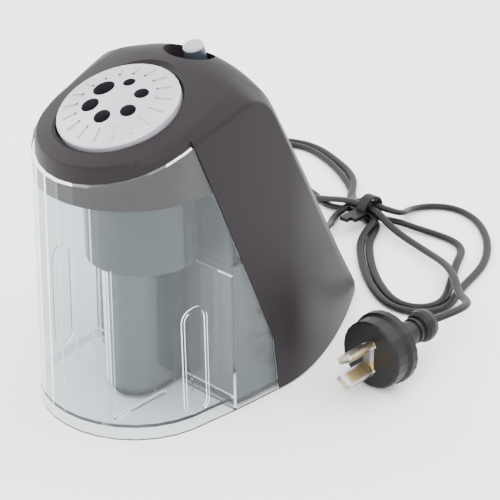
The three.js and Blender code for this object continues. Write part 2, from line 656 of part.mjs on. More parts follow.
function gearPlate() {
  const shape = new THREE.Shape();
  shape.moveTo(-38, 30);
  shape.lineTo(-38, -14);
  shape.lineTo(-30, -22);
  shape.absarc(cutterAt[0], cutterAt[1] + 3, 26, 1.12 * Math.PI, 1.86 * Math.PI, false);
  shape.lineTo(39, -6);
  shape.lineTo(39, 30);
  shape.lineTo(20, 46);
  shape.lineTo(-20, 46);
  const geometry = new THREE.ExtrudeGeometry(shape, { depth: PLATE_THICK, bevelEnabled: false, curveSegments: 16 });
  const plate = solid(geometry.translate(0, 0, PLATE_LOW));
  const through = (radius, spot, sides = 20) => rod(radius, PLATE_LOW - 1, PLATE_TOP + 1, ...spot, sides);
  return less(plate, through(8.6, cutterAt, 32), through(AXLE_RADIUS - 0.2, compoundAt),
    through(SHAFT_RADIUS + 0.8, motorAt));
}

// ---------------------------------------------------------------- gears
const AXLE_RADIUS = 2;
const motorAt = [0, MOTOR_ALONG];
const carrierToCompound = GEAR_MODULE * (CARRIER_TEETH + SMALL_TEETH) / 2;
const compoundToMotor = GEAR_MODULE * (LARGE_TEETH + MOTOR_TEETH) / 2;
const compoundAt = meetingPoint(cutterAt, carrierToCompound, motorAt, compoundToMotor);

// The point at distance ra from a and rb from b, on the right of the line from a to b.
function meetingPoint(a, ra, b, rb) {
  const dx = b[0] - a[0];
  const dy = b[1] - a[1];
  const apart = Math.hypot(dx, dy);
  const along = (ra * ra - rb * rb + apart * apart) / (2 * apart);
  const aside = Math.sqrt(Math.max(0, ra * ra - along * along));
  return [a[0] + (along * dx + aside * dy) / apart, a[1] + (along * dy - aside * dx) / apart];
}

// Trapezoid teeth; the phase is the direction of the middle of one tooth.
function gearOutline(teeth, phase, internal = false) {
  const pitch = teeth * GEAR_MODULE / 2;
  const inward = internal ? 1.25 : 0.8;
  const rootRadius = internal ? pitch + 1.25 * GEAR_MODULE : pitch - 1.25 * GEAR_MODULE;
  const tipRadius = internal ? pitch - 0.8 * GEAR_MODULE : pitch + 0.8 * GEAR_MODULE;
  const rootHalf = 0.72 * GEAR_MODULE / pitch * (inward > 1 ? 1 : 1.05);
  const tipHalf = 0.26 * GEAR_MODULE / pitch;
  const points = [];
  for (let k = 0; k < teeth; k += 1) {
    const middle = phase + 2 * Math.PI * k / teeth;
    for (const [radius, turn] of [[rootRadius, -rootHalf], [tipRadius, -tipHalf], [tipRadius, tipHalf],
      [rootRadius, rootHalf]]) {
      points.push([radius * Math.cos(middle + turn), radius * Math.sin(middle + turn)]);
    }
  }
  return points;
}

function gear(teeth, phase, low, high, x, y) {
  const points = gearOutline(teeth, phase).map(([px, py]) => [px + x, py + y]);
  return prism(points, low, high);
}

const direction = (from, to) => Math.atan2(to[1] - from[1], to[0] - from[0]);
const towardsCompound = direction(cutterAt, compoundAt);
const towardsMotor = direction(compoundAt, motorAt);

function carrierGear() {
  const blank = gear(CARRIER_TEETH, towardsCompound, -17.5, -13.5, ...cutterAt);
  return less(blank, rod(NECK_RADIUS + 0.1, -20, -10, ...cutterAt, 24));
}

function compoundGear() {
  const gap = Math.PI / SMALL_TEETH;
  const small = gear(SMALL_TEETH, towardsCompound + Math.PI + gap, -18, -13, ...compoundAt);
  const large = gear(LARGE_TEETH, towardsMotor, -20.6, -17.9, ...compoundAt);
  return less(sum(small, large), rod(AXLE_RADIUS + RUNNING_FIT, -30, 0, ...compoundAt, 24));
}

function motorPinion() {
  const gap = Math.PI / MOTOR_TEETH;
  const blank = gear(MOTOR_TEETH, towardsMotor + Math.PI + gap, -20.9, -17.4, ...motorAt);
  return less(blank, rod(SHAFT_RADIUS + 0.1, -30, 0, ...motorAt, 20));
}

function compoundAxle() {
  return sum(rod(AXLE_RADIUS, PLATE_TOP + 0.1, -12.4, ...compoundAt, 24),
    rod(AXLE_RADIUS - 0.3, PLATE_LOW - 1.2, PLATE_TOP + 0.2, ...compoundAt, 20));
}

const RING_TOP = PLATE_LOW - JOIN_GAP;
const RING_LOW = RING_TOP - 4;
const planetReach = GEAR_MODULE * (RING_TEETH - PLANET_TEETH) / 2;
const planetLean = THREE.MathUtils.degToRad(CUTTER_LEAN);
const PLANET_MIDDLE = (RING_TOP + RING_LOW) / 2;

function ringGear() {
  const blank = rod(18.6, RING_LOW, RING_TOP, 0, 0, 48);
  const teeth = prism(gearOutline(RING_TEETH, Math.PI / RING_TEETH, true), RING_LOW - 1, RING_TOP + 1);
  return less(blank, teeth);
}

// ---------------------------------------------------------------- cutter carrier and cutter
const NECK_RADIUS = 7.6;
const ARM_TOP = RING_LOW - 0.6;
const ARM_THICK = 2.4;
const FOOT_LOW = ARM_TOP - ARM_THICK - CUTTER_LENGTH - 5;

// The cutter's own frame within the carrier: Z along the cutter, leaning towards the pencil's point.
function cutterFrame() {
  const frame = new THREE.Matrix4().makeRotationY(planetLean);
  return frame.setPosition(planetReach, 0, PLANET_MIDDLE);
}

function cutterCarrier() {
  const bore = rod(PENCIL_BORE, ARM_TOP - ARM_THICK - 1, 0, 0, 0, 24);
  const neck = rod(NECK_RADIUS, PLATE_LOW, -12.2, 0, 0, 24);
  const collar = rod(NECK_RADIUS, PLATE_LOW - 2, PLATE_LOW + 1).intersect(block(-20, -2.5, -20, 20, -90, 0));
  const web = rod(12.6, FOOT_LOW, PLATE_LOW - 0.6).intersect(block(-20, -2.5, -20, 20, -90, 0));
  const lowerWeb = rod(CARRIER_RADIUS, FOOT_LOW, ARM_TOP, 0, 0, 24).intersect(block(-20, -4, -20, 20, -90, 0));
  const arm = rod(CARRIER_RADIUS, ARM_TOP - ARM_THICK, ARM_TOP, 0, 0, 24);
  const foot = rod(CARRIER_RADIUS, FOOT_LOW, FOOT_LOW + 3.5, 0, 0, 24);
  const stub = rod(2.6, FOOT_LOW - 14, FOOT_LOW + 1, 0, 0, 24);
  const point = rod(0.6, FOOT_LOW + 4, ARM_TOP - ARM_THICK + 2, 0, 0, 24, 5.6);
  const pencilRoom = rod(5.6, ARM_TOP - ARM_THICK, ARM_TOP + 1, 0, 0, 24);
  const pinHole = move(rod(PIN_RADIUS + 0.05, -60, 20, 0, 0, 16), cutterFrame());
  const cutterRoom = move(rod(CUTTER_RADIUS + 1, -CUTTER_LENGTH - 7, -5.2, 0, 0, 24), cutterFrame());
  return less(sum(neck, collar, web, lowerWeb, arm, foot, stub), bore, pencilRoom, point,
    pinHole.intersect(block(-20, 20, -20, 20, FOOT_LOW - 1, 0)),
    cutterRoom.intersect(block(-20, 20, -20, 20, FOOT_LOW + 3.5, ARM_TOP - ARM_THICK)));
}

const PIN_RADIUS = 1.2;
const CUTTER_HIGH = ARM_TOP - ARM_THICK - PLANET_MIDDLE - 0.9;

function cutterPin() {
  return rod(PIN_RADIUS, CUTTER_HIGH - CUTTER_LENGTH - 3.6, 1.9, 0, 0, 16);
}

function cutterPinion() {
  const blank = prism(gearOutline(PLANET_TEETH, 0), -1.4, 1.4);
  return less(blank, rod(PIN_RADIUS + RUNNING_FIT, -5, 5, 0, 0, 16));
}

// Fluted cylinder whose flutes wind round it.
function helicalCutter() {
  const flutes = 9;
  const points = [];
  for (let k = 0; k < flutes; k += 1) {
    const middle = 2 * Math.PI * k / flutes;
    for (const [radius, turn] of [[CUTTER_RADIUS - 1.1, -0.2], [CUTTER_RADIUS, 0.12], [CUTTER_RADIUS, 0.2]]) {
      points.push(new THREE.Vector2(radius * Math.cos(middle + turn), radius * Math.sin(middle + turn)));
    }
  }
  const geometry = new THREE.ExtrudeGeometry(new THREE.Shape(points),
    { depth: CUTTER_LENGTH, steps: 6, bevelEnabled: false });
  const position = geometry.attributes.position;
  const v = new THREE.Vector3();
  for (let i = 0; i < position.count; i += 1) {
    v.fromBufferAttribute(position, i);
    v.applyAxisAngle(new THREE.Vector3(0, 0, 1), v.z / CUTTER_LENGTH * 1.5);
    position.setXYZ(i, v.x, v.y, v.z);
  }
  const blank = solid(geometry.translate(0, 0, CUTTER_HIGH - CUTTER_LENGTH));
  return less(blank, rod(PIN_RADIUS + RUNNING_FIT, -60, 5, 0, 0, 16));
}

// ---------------------------------------------------------------- motor, in the tilted frame
const MOTOR_TOP = PLATE_LOW - 10;
const STATOR_TOP = MOTOR_TOP - 9;
const STATOR_LOW = STATOR_TOP - 18;
const MOTOR_LOW = STATOR_LOW - 9;

function statorCore() {
  const stack = block(-STATOR_HALF, STATOR_HALF, -STATOR_HALF, STATOR_HALF, STATOR_LOW, STATOR_TOP);
  const windows = [-1, 1].map((side) => block(-12.8, 12.8, side > 0 ? 12.2 : -18, side > 0 ? 18 : -12.2,
    STATOR_LOW - 1, STATOR_TOP + 1));
  return less(stack, ...windows, rod(ROTOR_RADIUS + 0.5, STATOR_LOW - 1, STATOR_TOP + 1, 0, 0, 24));
}

function coil(side) {
  const centre = side * 15.1;
  return block(-12.4, 12.4, centre - 2.5, centre + 2.5, STATOR_LOW - 5, STATOR_TOP + 5);
}

function rotor() {
  const profile = [[0, MOTOR_LOW - 10], [SHAFT_RADIUS, MOTOR_LOW - 10], [SHAFT_RADIUS, STATOR_LOW - 1],
    [ROTOR_RADIUS, STATOR_LOW - 1], [ROTOR_RADIUS, STATOR_TOP + 1], [SHAFT_RADIUS, STATOR_TOP + 1],
    [SHAFT_RADIUS, -16.8], [0, -16.8]];
  return turned(profile, 20);
}

function bush(low, high) {
  return less(rod(3.6, low, high, 0, 0, 24), rod(SHAFT_RADIUS + RUNNING_FIT, low - 1, high + 1, 0, 0, 24));
}

// A bridge across the stator's end that holds one bush.
function bracket(low, high, standFrom, standTo, posts = []) {
  const bar = block(-STATOR_HALF, STATOR_HALF, -6, 6, low, high);
  const stands = [-1, 1].map((side) => block(side > 0 ? 14.2 : -STATOR_HALF, side > 0 ? STATOR_HALF : -14.2, -6, 6,
    standFrom, standTo));
  return less(sum(bar, ...stands, ...posts), rod(3.9, low - 1, high + 1, 0, 0, 24));
}

function upperBracket() {
  const posts = [-1, 1].map((side) => rod(3, MOTOR_TOP - 2, PLATE_LOW - JOIN_GAP, side * 16.5, 0, 16));
  return bracket(MOTOR_TOP - 3, MOTOR_TOP - 1, STATOR_TOP + JOIN_GAP, MOTOR_TOP - 2, posts);
}

function fan() {
  const hub = rod(4, MOTOR_LOW - 9, MOTOR_LOW - 3, 0, 0, 20);
  const disc = rod(15, MOTOR_LOW - 4.2, MOTOR_LOW - 3, 0, 0, 28);
  const blades = [];
  for (let k = 0; k < 7; k += 1) {
    const blade = geometryOf(block(3, 14.6, -0.6, 0.6, MOTOR_LOW - 8.6, MOTOR_LOW - 3.6));
    blades.push(solid(blade.rotateZ(2 * Math.PI * k / 7)));
  }
  return less(sum(hub, disc, ...blades), rod(SHAFT_RADIUS + 0.1, MOTOR_LOW - 20, MOTOR_LOW, 0, 0, 20));
}

// ---------------------------------------------------------------- dial and button
function domeHeight(r) {
  return DIAL_RISE * (1 - (r / DIAL_RADIUS) ** 2);
}

function dial() {
  const rings = [1, 2, 3, 4].map((k) => (DIAL_RADIUS - 0.6) * k / 4);
  const skirtIn = DIAL_RADIUS - DIAL_THICK;
  const under = rings.slice(0, -1).map((r) => [r, domeHeight(r) - DIAL_THICK]);
  const over = rings.map((r) => [r, domeHeight(r)]).reverse();
  const dome = solid(turned([[0, DIAL_RISE - DIAL_THICK], ...under, [skirtIn, -1.4], [skirtIn, -5],
    [DIAL_RADIUS, -5], [DIAL_RADIUS, -0.6], ...over, [0, DIAL_RISE]], 36));
  const stem = rod(STEM_RADIUS, -WELL_DEPTH - 5, DIAL_RISE - 1, 0, 0, 20);
  const groove = less(rod(STEM_RADIUS + 1, -WELL_DEPTH - 3.8, -WELL_DEPTH - 2.6, 0, 0, 20),
    rod(STEM_RADIUS - 0.8, -20, 0, 0, 0, 20));
  const holes = [];
  const guides = [];
  HOLE_RADII.forEach((radius, k) => {
    const angle = THREE.MathUtils.degToRad(HOLE_FIRST_ANGLE + 60 * k);
    const at = [HOLE_CIRCLE * Math.cos(angle), HOLE_CIRCLE * Math.sin(angle)];
    guides.push(rod(radius + 1, -5, domeHeight(HOLE_CIRCLE) - 0.8, ...at, 16));
    holes.push(rod(radius, -9, 9, ...at, 16));
  });
  return less(sum(dome, stem, ...guides, ...dialRibs()), groove, ...holes);
}

function dialRibs() {
  const ribs = [];
  const inner = DIAL_RADIUS * 0.64;
  const outer = DIAL_RADIUS * 0.88;
  const slope = Math.atan2(domeHeight(inner) - domeHeight(outer), outer - inner);
  for (let k = 0; k < RIB_COUNT; k += 1) {
    const rib = new THREE.BoxGeometry(outer - inner, 1.1, 1.2).rotateY(slope);
    rib.translate((inner + outer) / 2, 0, domeHeight((inner + outer) / 2));
    ribs.push(solid(rib.rotateZ(2 * Math.PI * (k + 0.5) / RIB_COUNT)));
  }
  return ribs;
}

// Split ring that snaps into the stem's groove under the well's floor.
function dialRetainer() {
  const low = -WELL_DEPTH - 3.6;
  const ring = less(rod(7.4, low, low + 0.8, 0, 0, 28), rod(STEM_RADIUS - 0.6, low - 1, low + 2, 0, 0, 28));
  return less(ring, block(-1.2, 1.2, 0, 10, low - 1, low + 2));
}

// The button slides along its own axis; its flange stops it under the dish.
const FLANGE_TOP = -DISH_DEPTH - 2.2 - JOIN_GAP;
const SPRING_HIGH = FLANGE_TOP - 1.6 - JOIN_GAP;
const SPRING_LOW = SPRING_HIGH - 6.4;

function pushButton() {
  const stemLow = SPRING_HIGH - 1.6;
  const profile = [[0, stemLow], [2.6, stemLow], [2.6, FLANGE_TOP - 1.6], [BUTTON_RADIUS + 1.5, FLANGE_TOP - 1.6],
    [BUTTON_RADIUS + 1.5, FLANGE_TOP], [BUTTON_RADIUS + 0.3, FLANGE_TOP], [BUTTON_RADIUS - 0.1, -0.9],
    [BUTTON_RADIUS - 0.9, 0], [0, 0]];
  return turned(profile, 24);
}

// Compression spring of four turns.
class Coil extends THREE.Curve {
  getPoint(at, target = new THREE.Vector3()) {
    const angle = 2 * Math.PI * 4 * at;
    return target.set(3.9 * Math.cos(angle), 3.9 * Math.sin(angle), SPRING_LOW + 0.5 + (SPRING_HIGH - SPRING_LOW - 1) * at);
  }
}

function sweptRod(curve, radius, sides, steps) {
  const section = new THREE.Shape();
  section.absarc(0, 0, radius, 0, 2 * Math.PI, false);
  const outline = new THREE.Shape(section.getPoints(Math.max(2, Math.round(sides / 2))).slice(0, -1));
  return new THREE.ExtrudeGeometry(outline, { steps, extrudePath: curve, bevelEnabled: false });
}

function buttonSpring() {
  return sweptRod(new Coil(), 0.4, 6, 40);
}

function powerSwitch() {
  const top = SPRING_LOW - JOIN_GAP;
  const body = block(-6, 6, -4.2, 4.2, top - 6.5, top);
  return sum(body, rod(1.9, top - 1, SPRING_HIGH - 1.6 - BUTTON_TRAVEL - 0.5, 0, 0, 16));
}

// ---------------------------------------------------------------- start lever and switches
const LEVER_PIVOT = [21, -22];

function startLever() {
  const top = -WELL_DEPTH - 2.2 - 0.6;
  const tipAt = [cutterAt[0] + PENCIL_BORE + 0.9, cutterAt[1]];
  const angle = Math.atan2(tipAt[1] - LEVER_PIVOT[1], tipAt[0] - LEVER_PIVOT[0]);
  const length = Math.hypot(tipAt[0] - LEVER_PIVOT[0], tipAt[1] - LEVER_PIVOT[1]);
  const arm = geometryOf(block(0, length, -1.6, 1.6, top - 2.4, top)).rotateZ(angle);
  const boss = rod(3, top - 2.4, top, ...LEVER_PIVOT, 20);
  return less(sum(solid(arm.translate(...LEVER_PIVOT, 0)), boss),
    rod(1.3 + RUNNING_FIT, top - 5, top + 2, ...LEVER_PIVOT, 20),
    rod(PENCIL_BORE + 0.6, top - 5, top + 2, ...cutterAt, 24));
}

function startSwitch() {
  return block(27.5, 36, -24, -12, -WELL_DEPTH - 6.6, -WELL_DEPTH - 2.2 - JOIN_GAP - 1.6);
}

function terminalBlock() {
  const body = block(-14, 14, 112, 122, BASE_TOP + JOIN_GAP, BASE_TOP + 12);
  const ways = [-9, 0, 9].map((x) => rod(2, BASE_TOP + 6, BASE_TOP + 14, x, 117, 12));
  return less(body, ...ways);
}

function capacitor() {
  return turned([[0, 8], [10, 8], [10.4, 8.6], [10.4, 58], [9.6, 59], [0, 59]], 24)
    .translate(0, COLUMN_AT, 0);
}

// ---------------------------------------------------------------- cord and plug
function exitFrame() {
  const frame = new THREE.Matrix4().makeBasis(
    new THREE.Vector3(Math.cos(exitTurn), Math.sin(exitTurn), 0),
    new THREE.Vector3(0, 0, 1),
    new THREE.Vector3(-Math.sin(exitTurn), Math.cos(exitTurn), 0).negate());
  frame.elements[8] = -Math.sin(exitTurn);
  frame.elements[9] = Math.cos(exitTurn);
  frame.elements[0] = -Math.cos(exitTurn);
  frame.elements[1] = -Math.sin(exitTurn);
  return frame.setPosition(...EXIT_AT);
}

function cordHole(radius) {
  return move(rod(radius, -12, 30, 0, 0, 24), exitFrame());
}

// Tapered sleeve with a flange inside the shell and grip rings outside.
function strainRelief() {
  const profile = [[0, -8], [8, -8], [8, -6], [5.1, -6], [5.1, 15], [6, 15.4], [6, 17]];
  for (let k = 0; k < 4; k += 1) {
    const at = 18 + 4 * k;
    const radius = 5.2 - 0.5 * k;
    profile.push([radius - 1, at], [radius, at + 0.6], [radius, at + 2.6], [radius - 1, at + 3.2]);
  }
  profile.push([RELIEF_TIP, RELIEF_END], [0, RELIEF_END]);
  return turned(profile, 14);
}

function cordTube(points, radius, steps) {
  const curve = new THREE.CatmullRomCurve3(points.map((p) => new THREE.Vector3(...p)), false, 'centripetal');
  return sweptRod(curve, radius, 8, steps);
}

// Where the free cord lies, by hand: behind and beside the body, tied in the middle.
const TIE_AT = [-40, 246, 9.7];
const cordRoutes = {
  cord_lead: { radius: CORD_RADIUS, steps: 8, points: [[-26.6, 183.3, 20], [-31.6, 194.4, 18.6], [-39, 206, 13],
    [-48, 217, 7], [-55, 227, 4], [-59, 235, 4]] },
  cord_loop_1: { radius: CORD_RADIUS, steps: 14, points: [[-24.5, 249, 12.5], [-21, 256, 10], [-26, 267, 6], [-29, 277, 3.4], [-24, 289, 2.8],
    [-10, 298, 2.8], [10, 294, 2.8], [30, 279, 2.8], [45, 260, 2.8], [54, 242, 2.8], [57, 230, 2.8]] },
  cord_loop_2: { radius: CORD_RADIUS, steps: 7, points: [[-25, 252, 4.6], [-10, 255, 3.2], [9, 259, 2.8], [24, 258, 2.8],
    [33, 250, 2.8], [37, 240, 2.8]] },
  cord_loop_3: { radius: 5.4, steps: 18, points: [[-25, 241, 6.2], [-8, 237, 6], [20, 229, 5.8], [45, 217, 5.8],
    [61, 203, 5.8], [67, 188, 5.8], [61, 172, 5.8], [45, 167, 5.8], [25, 176, 5.8], [5, 191, 5.8],
    [-10, 206, 5.8], [-22, 220, 5.8], [-30, 231, 6]] },
  cord_loop_4: { radius: 4.2, steps: 18, points: [[-58, 250.5, 10.5], [-73, 265, 7], [-95, 282, 5], [-122, 296, 4.6],
    [-150, 303, 4.6], [-168, 294, 4.6], [-166, 276, 4.6], [-146, 264, 4.6], [-118, 259, 4.6], [-90, 253, 4.6],
    [-71, 245, 5], [-58, 240.5, 5.6]] },
  cord_tail: { radius: CORD_RADIUS, steps: 4, points: [[76, 186, 12.5], [84, 184, 15], [92, 178, 18.5], [96, 167, 21],
    [95.6, 152, 21], [92.6, 138.2, 21]] },
};

function cordNeck() {
  return turned([[0, -13], [6.4, -13], [7.9, -10], [7.9, 10], [6.4, 13], [0, 13]], 16)
    .rotateY(Math.PI / 2).translate(...TIE_AT);
}

function twistTie() {
  const band = less(rod(9.6, -3.5, 3.5, 0, 0, 20), rod(8.2, -5, 5, 0, 0, 20));
  const tails = [block(-1.2, 1.2, -24, -9, -3, 3), block(-1.2, 1.2, -20, -9, -3, 3)];
  const spread = tails.map((tail, k) => solid(geometryOf(tail).translate(0, 0, k ? 2 : -2)));
  const made = geometryOf(sum(band, ...spread));
  return solid(made.rotateY(Math.PI / 2).translate(...TIE_AT));
}

// Round flat plug; its axis lies along Y and its face looks towards -Y.
function plugBody() {
  const profile = [[0, 0], [PLUG_FACE - 1, 0], [PLUG_FACE, 1.2], [PLUG_FACE, 9], [PLUG_FLANGE, 11], [PLUG_FLANGE, 15],
    [PLUG_FLANGE - 1, 16], [9.5, 18.5], [8.2, 22], [7.4, 30], [7.2, 34], [6.4, 34.8], [6.4, 36], [7.4, 36.6],
    [7.4, 38], [6.4, 38.6], [6.4, 40], [7.8, 40.8], [9.2, 43], [9.4, 46], [8.4, 49.5], [6, 51], [0, 51]];
  const holes = pinSpots().map(([x, z, turn]) => geometryOf(
    block(-PIN_HALF - 0.1, PIN_HALF + 0.1, -0.95, 0.95, -1, 8)).rotateZ(turn).translate(x, z, 0));
  return less(solid(turned(profile, 24)), ...holes.map(solid));
}
const PIN_HALF = 3.15;

// The pins lean towards each other; the plug lies with one above the other.
function pinSpots() {
  const lean = THREE.MathUtils.degToRad(30);
  return [[0, PIN_SPACING / 2, lean], [0, -PIN_SPACING / 2, -lean]];
}

function plugPin(k) {
  const [x, z, turn] = pinSpots()[k];
  const blade = geometryOf(block(-PIN_HALF, PIN_HALF, -0.8, 0.8, -PIN_LENGTH, 7.5));
  return blade.rotateZ(turn).translate(x, z, 0);
}

// Clear guard: a sleeve on each pin, joined by a web at the plug's face.
function pinGuard() {
  const outers = [];
  const slots = [];
  for (const [x, z, turn] of pinSpots()) {
    const place = (shape) => solid(geometryOf(shape).rotateZ(turn).translate(x, z, 0));
    outers.push(place(block(-4.3, 4.3, -2, 2, -PIN_LENGTH - 5, -1)));
    slots.push(place(block(-PIN_HALF - 0.25, PIN_HALF + 0.25, -1.05, 1.05, -PIN_LENGTH - 2.5, 5)));
  }
  const web = block(-1.2, 3.4, -PIN_SPACING / 2 - 1, PIN_SPACING / 2 + 1, -4.6, -1);
  return less(sum(...outers, web), ...slots);
}

// ---------------------------------------------------------------- assembly
const root = new THREE.Group();
const body = new THREE.Group();
body.position.y = -BODY_MIDDLE;
root.add(body);
const top = new THREE.Group();
top.position.set(0, ...DIAL_CENTRE);
top.rotation.x = tilt;
body.add(top);
const motor = new THREE.Group();
motor.position.set(...motorAt, 0);
top.add(motor);
const spindle = new THREE.Group();
spindle.position.set(...cutterAt, 0);
top.add(spindle);
const cutterPlace = new THREE.Group();
cutterPlace.position.set(planetReach, 0, PLANET_MIDDLE);
cutterPlace.rotation.y = planetLean;
spindle.add(cutterPlace);
const button = new THREE.Group();
button.position.set(0, ...BUTTON_AT);
button.rotation.x = THREE.MathUtils.degToRad(BUTTON_LEAN);
body.add(button);
const exit = new THREE.Group();
exit.position.set(...EXIT_AT);
exit.rotation.set(-Math.PI / 2, 0, exitTurn, 'ZXY');
body.add(exit);
const plug = new THREE.Group();
plug.position.set(PLUG_AT[0], PLUG_AT[1], PLUG_FLANGE);
plug.rotation.x = -Math.PI / 2;
body.add(plug);

function add(group, name, shape, makeMaterial) {
  const geometry = shape.isBufferGeometry ? shape : tidied(geometryOf(shape));
  const mesh = new THREE.Mesh(geometry, makeMaterial());
  mesh.name = name;
  group.add(mesh);
}

add(body, 'housing_shell', housingShell(), charcoal);
add(body, 'dial_seat', dialSeat(), charcoal);
add(body, 'receptacle', receptacle(), smoke);
add(body, 'front_bulkhead', frontBulkhead(), innerPlastic);
add(body, 'cutter_housing', cutterHousing(), innerPlastic);
add(body, 'base_plate', basePlate(), charcoal);
postSpots.forEach(([x, y], k) => add(body, `base_screw_${k + 1}`, baseScrew(x, y), steel));
const footSpots = [[-38, 36], [38, 36], [-32, 108], [32, 108]];
footSpots.forEach(([x, y], k) => add(body, `rubber_foot_${k + 1}`, rubberFoot(x, y), rubber));
add(body, 'terminal_block', terminalBlock(), nylon);
add(body, 'motor_capacitor', capacitor(), steel);

add(top, 'dial', dial(), silver);
add(top, 'dial_retainer', dialRetainer(), darkSteel);
add(top, 'gear_plate', gearPlate(), steel);
add(top, 'compound_axle', compoundAxle(), steel);
add(top, 'compound_gear', compoundGear(), nylon);
add(top, 'carrier_gear', carrierGear(), nylon);
add(top, 'motor_pinion', motorPinion(), brass);
add(top, 'start_lever', startLever(), nylon);
add(top, 'start_switch', startSwitch(), rubber);
add(button, 'push_button', pushButton(), silver);
add(button, 'button_spring', buttonSpring(), steel);
add(button, 'power_switch', powerSwitch(), rubber);

add(spindle, 'ring_gear', ringGear(), nylon);
add(spindle, 'cutter_carrier', cutterCarrier(), darkSteel);
add(cutterPlace, 'cutter_pin', cutterPin(), steel);
add(cutterPlace, 'cutter_pinion', cutterPinion(), brass);
add(cutterPlace, 'helical_cutter', helicalCutter(), darkSteel);

add(motor, 'stator_core', statorCore(), darkSteel);
add(motor, 'stator_coil_1', coil(-1), copper);
add(motor, 'stator_coil_2', coil(1), copper);
add(motor, 'rotor', rotor(), steel);
add(motor, 'upper_bush', bush(MOTOR_TOP - 4, MOTOR_TOP), brass);
add(motor, 'lower_bush', bush(MOTOR_LOW, MOTOR_LOW + 4), brass);
add(motor, 'upper_bracket', upperBracket(), steel);
add(motor, 'lower_bracket', bracket(MOTOR_LOW + 1, MOTOR_LOW + 3, MOTOR_LOW + 2, STATOR_LOW - JOIN_GAP), steel);
add(motor, 'cooling_fan', fan(), innerPlastic);

add(exit, 'strain_relief', strainRelief(), cordBlack);
for (const [name, route] of Object.entries(cordRoutes)) {
  add(body, name, cordTube(route.points, route.radius, route.steps), cordBlack);
}
add(body, 'cord_neck', cordNeck(), cordBlack);
add(body, 'twist_tie', twistTie(), cordBlack);
add(plug, 'plug_body', plugBody(), cordBlack);
add(plug, 'plug_pin_1', plugPin(0), brass);
add(plug, 'plug_pin_2', plugPin(1), brass);
add(plug, 'pin_guard', pinGuard(), clearSheath);

export default root;
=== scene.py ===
import json
import math

import bmesh
import bpy
import numpy as np
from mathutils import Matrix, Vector


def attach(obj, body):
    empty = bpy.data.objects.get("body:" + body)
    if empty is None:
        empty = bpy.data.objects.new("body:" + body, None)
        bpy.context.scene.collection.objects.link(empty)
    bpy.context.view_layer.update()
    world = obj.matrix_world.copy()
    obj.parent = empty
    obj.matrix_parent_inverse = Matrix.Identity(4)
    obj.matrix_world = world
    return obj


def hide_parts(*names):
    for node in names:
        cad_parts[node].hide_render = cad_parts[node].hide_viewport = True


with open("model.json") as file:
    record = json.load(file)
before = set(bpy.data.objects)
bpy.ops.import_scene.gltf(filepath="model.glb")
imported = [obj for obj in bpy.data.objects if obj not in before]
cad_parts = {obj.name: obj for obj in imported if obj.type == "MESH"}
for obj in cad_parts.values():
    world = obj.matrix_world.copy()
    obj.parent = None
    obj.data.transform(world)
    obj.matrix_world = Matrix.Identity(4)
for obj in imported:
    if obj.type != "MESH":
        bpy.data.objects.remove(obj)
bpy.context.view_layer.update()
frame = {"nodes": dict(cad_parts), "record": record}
nodes = frame["nodes"]

# ------------------------------------------------------------------ measures, in millimetres
# The body's plan is drawn from the centre of its front arc; the row's origin lies this far behind it.
BODY_MIDDLE = 66.5778
TABLE_GAP = 0.8                    # the shell clears the table by this much

# Front half of the plan: a half ellipse; then the sides swell, and close round the tail's arc.
FRONT_DEPTH = 50.8
FRONT_HALF = 53
WIDEST_HALF = 57.5
WIDEST_AT = 61
TAIL_RADIUS = 17.8
TAIL_AT = 156.9
TAIL_LEAN = math.radians(33)
WALL_TAPER = 0.022                 # the walls lean in by this much per millimetre of height

# Top line in side view: a tilted plane, a ridge and a sloping back.
TILT = math.radians(21.2)
DIAL_AT = (-5.2, 167.8)
RIDGE_START = 26.8
RIDGE_END = (67, 165)
RIDGE_FALL = math.radians(63.6)
TAIL_TOP = (168, 10)
SEAM_DROP = 10.2
SEAM_SIDE = [(53, 0), (49.5, 32.5)]
SEAM_TIP = -1                      # the panel's front edge meets the seam here
NOSE_DROP = 4
NOSE_FROM = 28
CROWN_AT = 46
# Place along the body, then bevel inset, fall of the crown at CROWN_AT, and depth of the wall's top edge.
SHOULDER = np.array([
    (-51, 2.5, 7.8, 10.2), (-15, 5.2, 5.5, 10.2), (15, 7.5, 5.8, 10.2), (32, 11.4, 7.2, 11.2),
    (45, 12.4, 10.5, 14.5), (60, 7.8, 9.9, 15.6), (90, 5.3, 8.4, 14.9), (140, 3.6, 7.6, 9.9), (175, 2, 5, 3.5)])
SHELL_WALL = 2.5
SKIRT_INSET = 2.3
SKIRT_THICK = 2.2
SKIRT_BOTTOM = 129.3
SKIRT_END = 10

WELL_RADIUS = 33.6
WELL_CUT = -9
BUTTON_AT = (47.6, 185.4)
BUTTON_LEAN = math.radians(16)
BUTTON_AXIS = Vector((0, -math.sin(BUTTON_LEAN), math.cos(BUTTON_LEAN)))
DISH_HALF = (16, 10.3)
DISH_FORWARD = 3.3
DISH_FLOOR = -12.5
EXIT_AT = (-12, 152, 20)           # the cord's hole in the back
EXIT_TURN = math.radians(-25)

# Steps of the fine shell
FAR = 400
PLAN_STEPS = 120
CAP_STEPS = 14
EDGE_ROUND = 2.2


def at(x, y, z):
    """Row frame, in metres, of a point in millimetres measured from the front arc's centre on the table."""
    return Vector((x / 1000, (y - BODY_MIDDLE) / 1000, z / 1000))


# ------------------------------------------------------------------ camera
CAMERA_AT = (562.57, -503.68, 469.90)
CAMERA_AIM = (21.32, 67.57, 67.18)
CAMERA_LENS = 116.86
SENSOR_WIDTH = 36


def make_camera():
    data = bpy.data.cameras.new("camera")
    data.lens = CAMERA_LENS
    data.sensor_width = SENSOR_WIDTH
    data.clip_end = 20
    cam = bpy.data.objects.new("camera", data)
    bpy.context.scene.collection.objects.link(cam)
    cam.location = at(*CAMERA_AT)
    aim = at(*CAMERA_AIM) - cam.location
    cam.rotation_euler = aim.to_track_quat("-Z", "Y").to_euler()
    bpy.context.scene.camera = cam


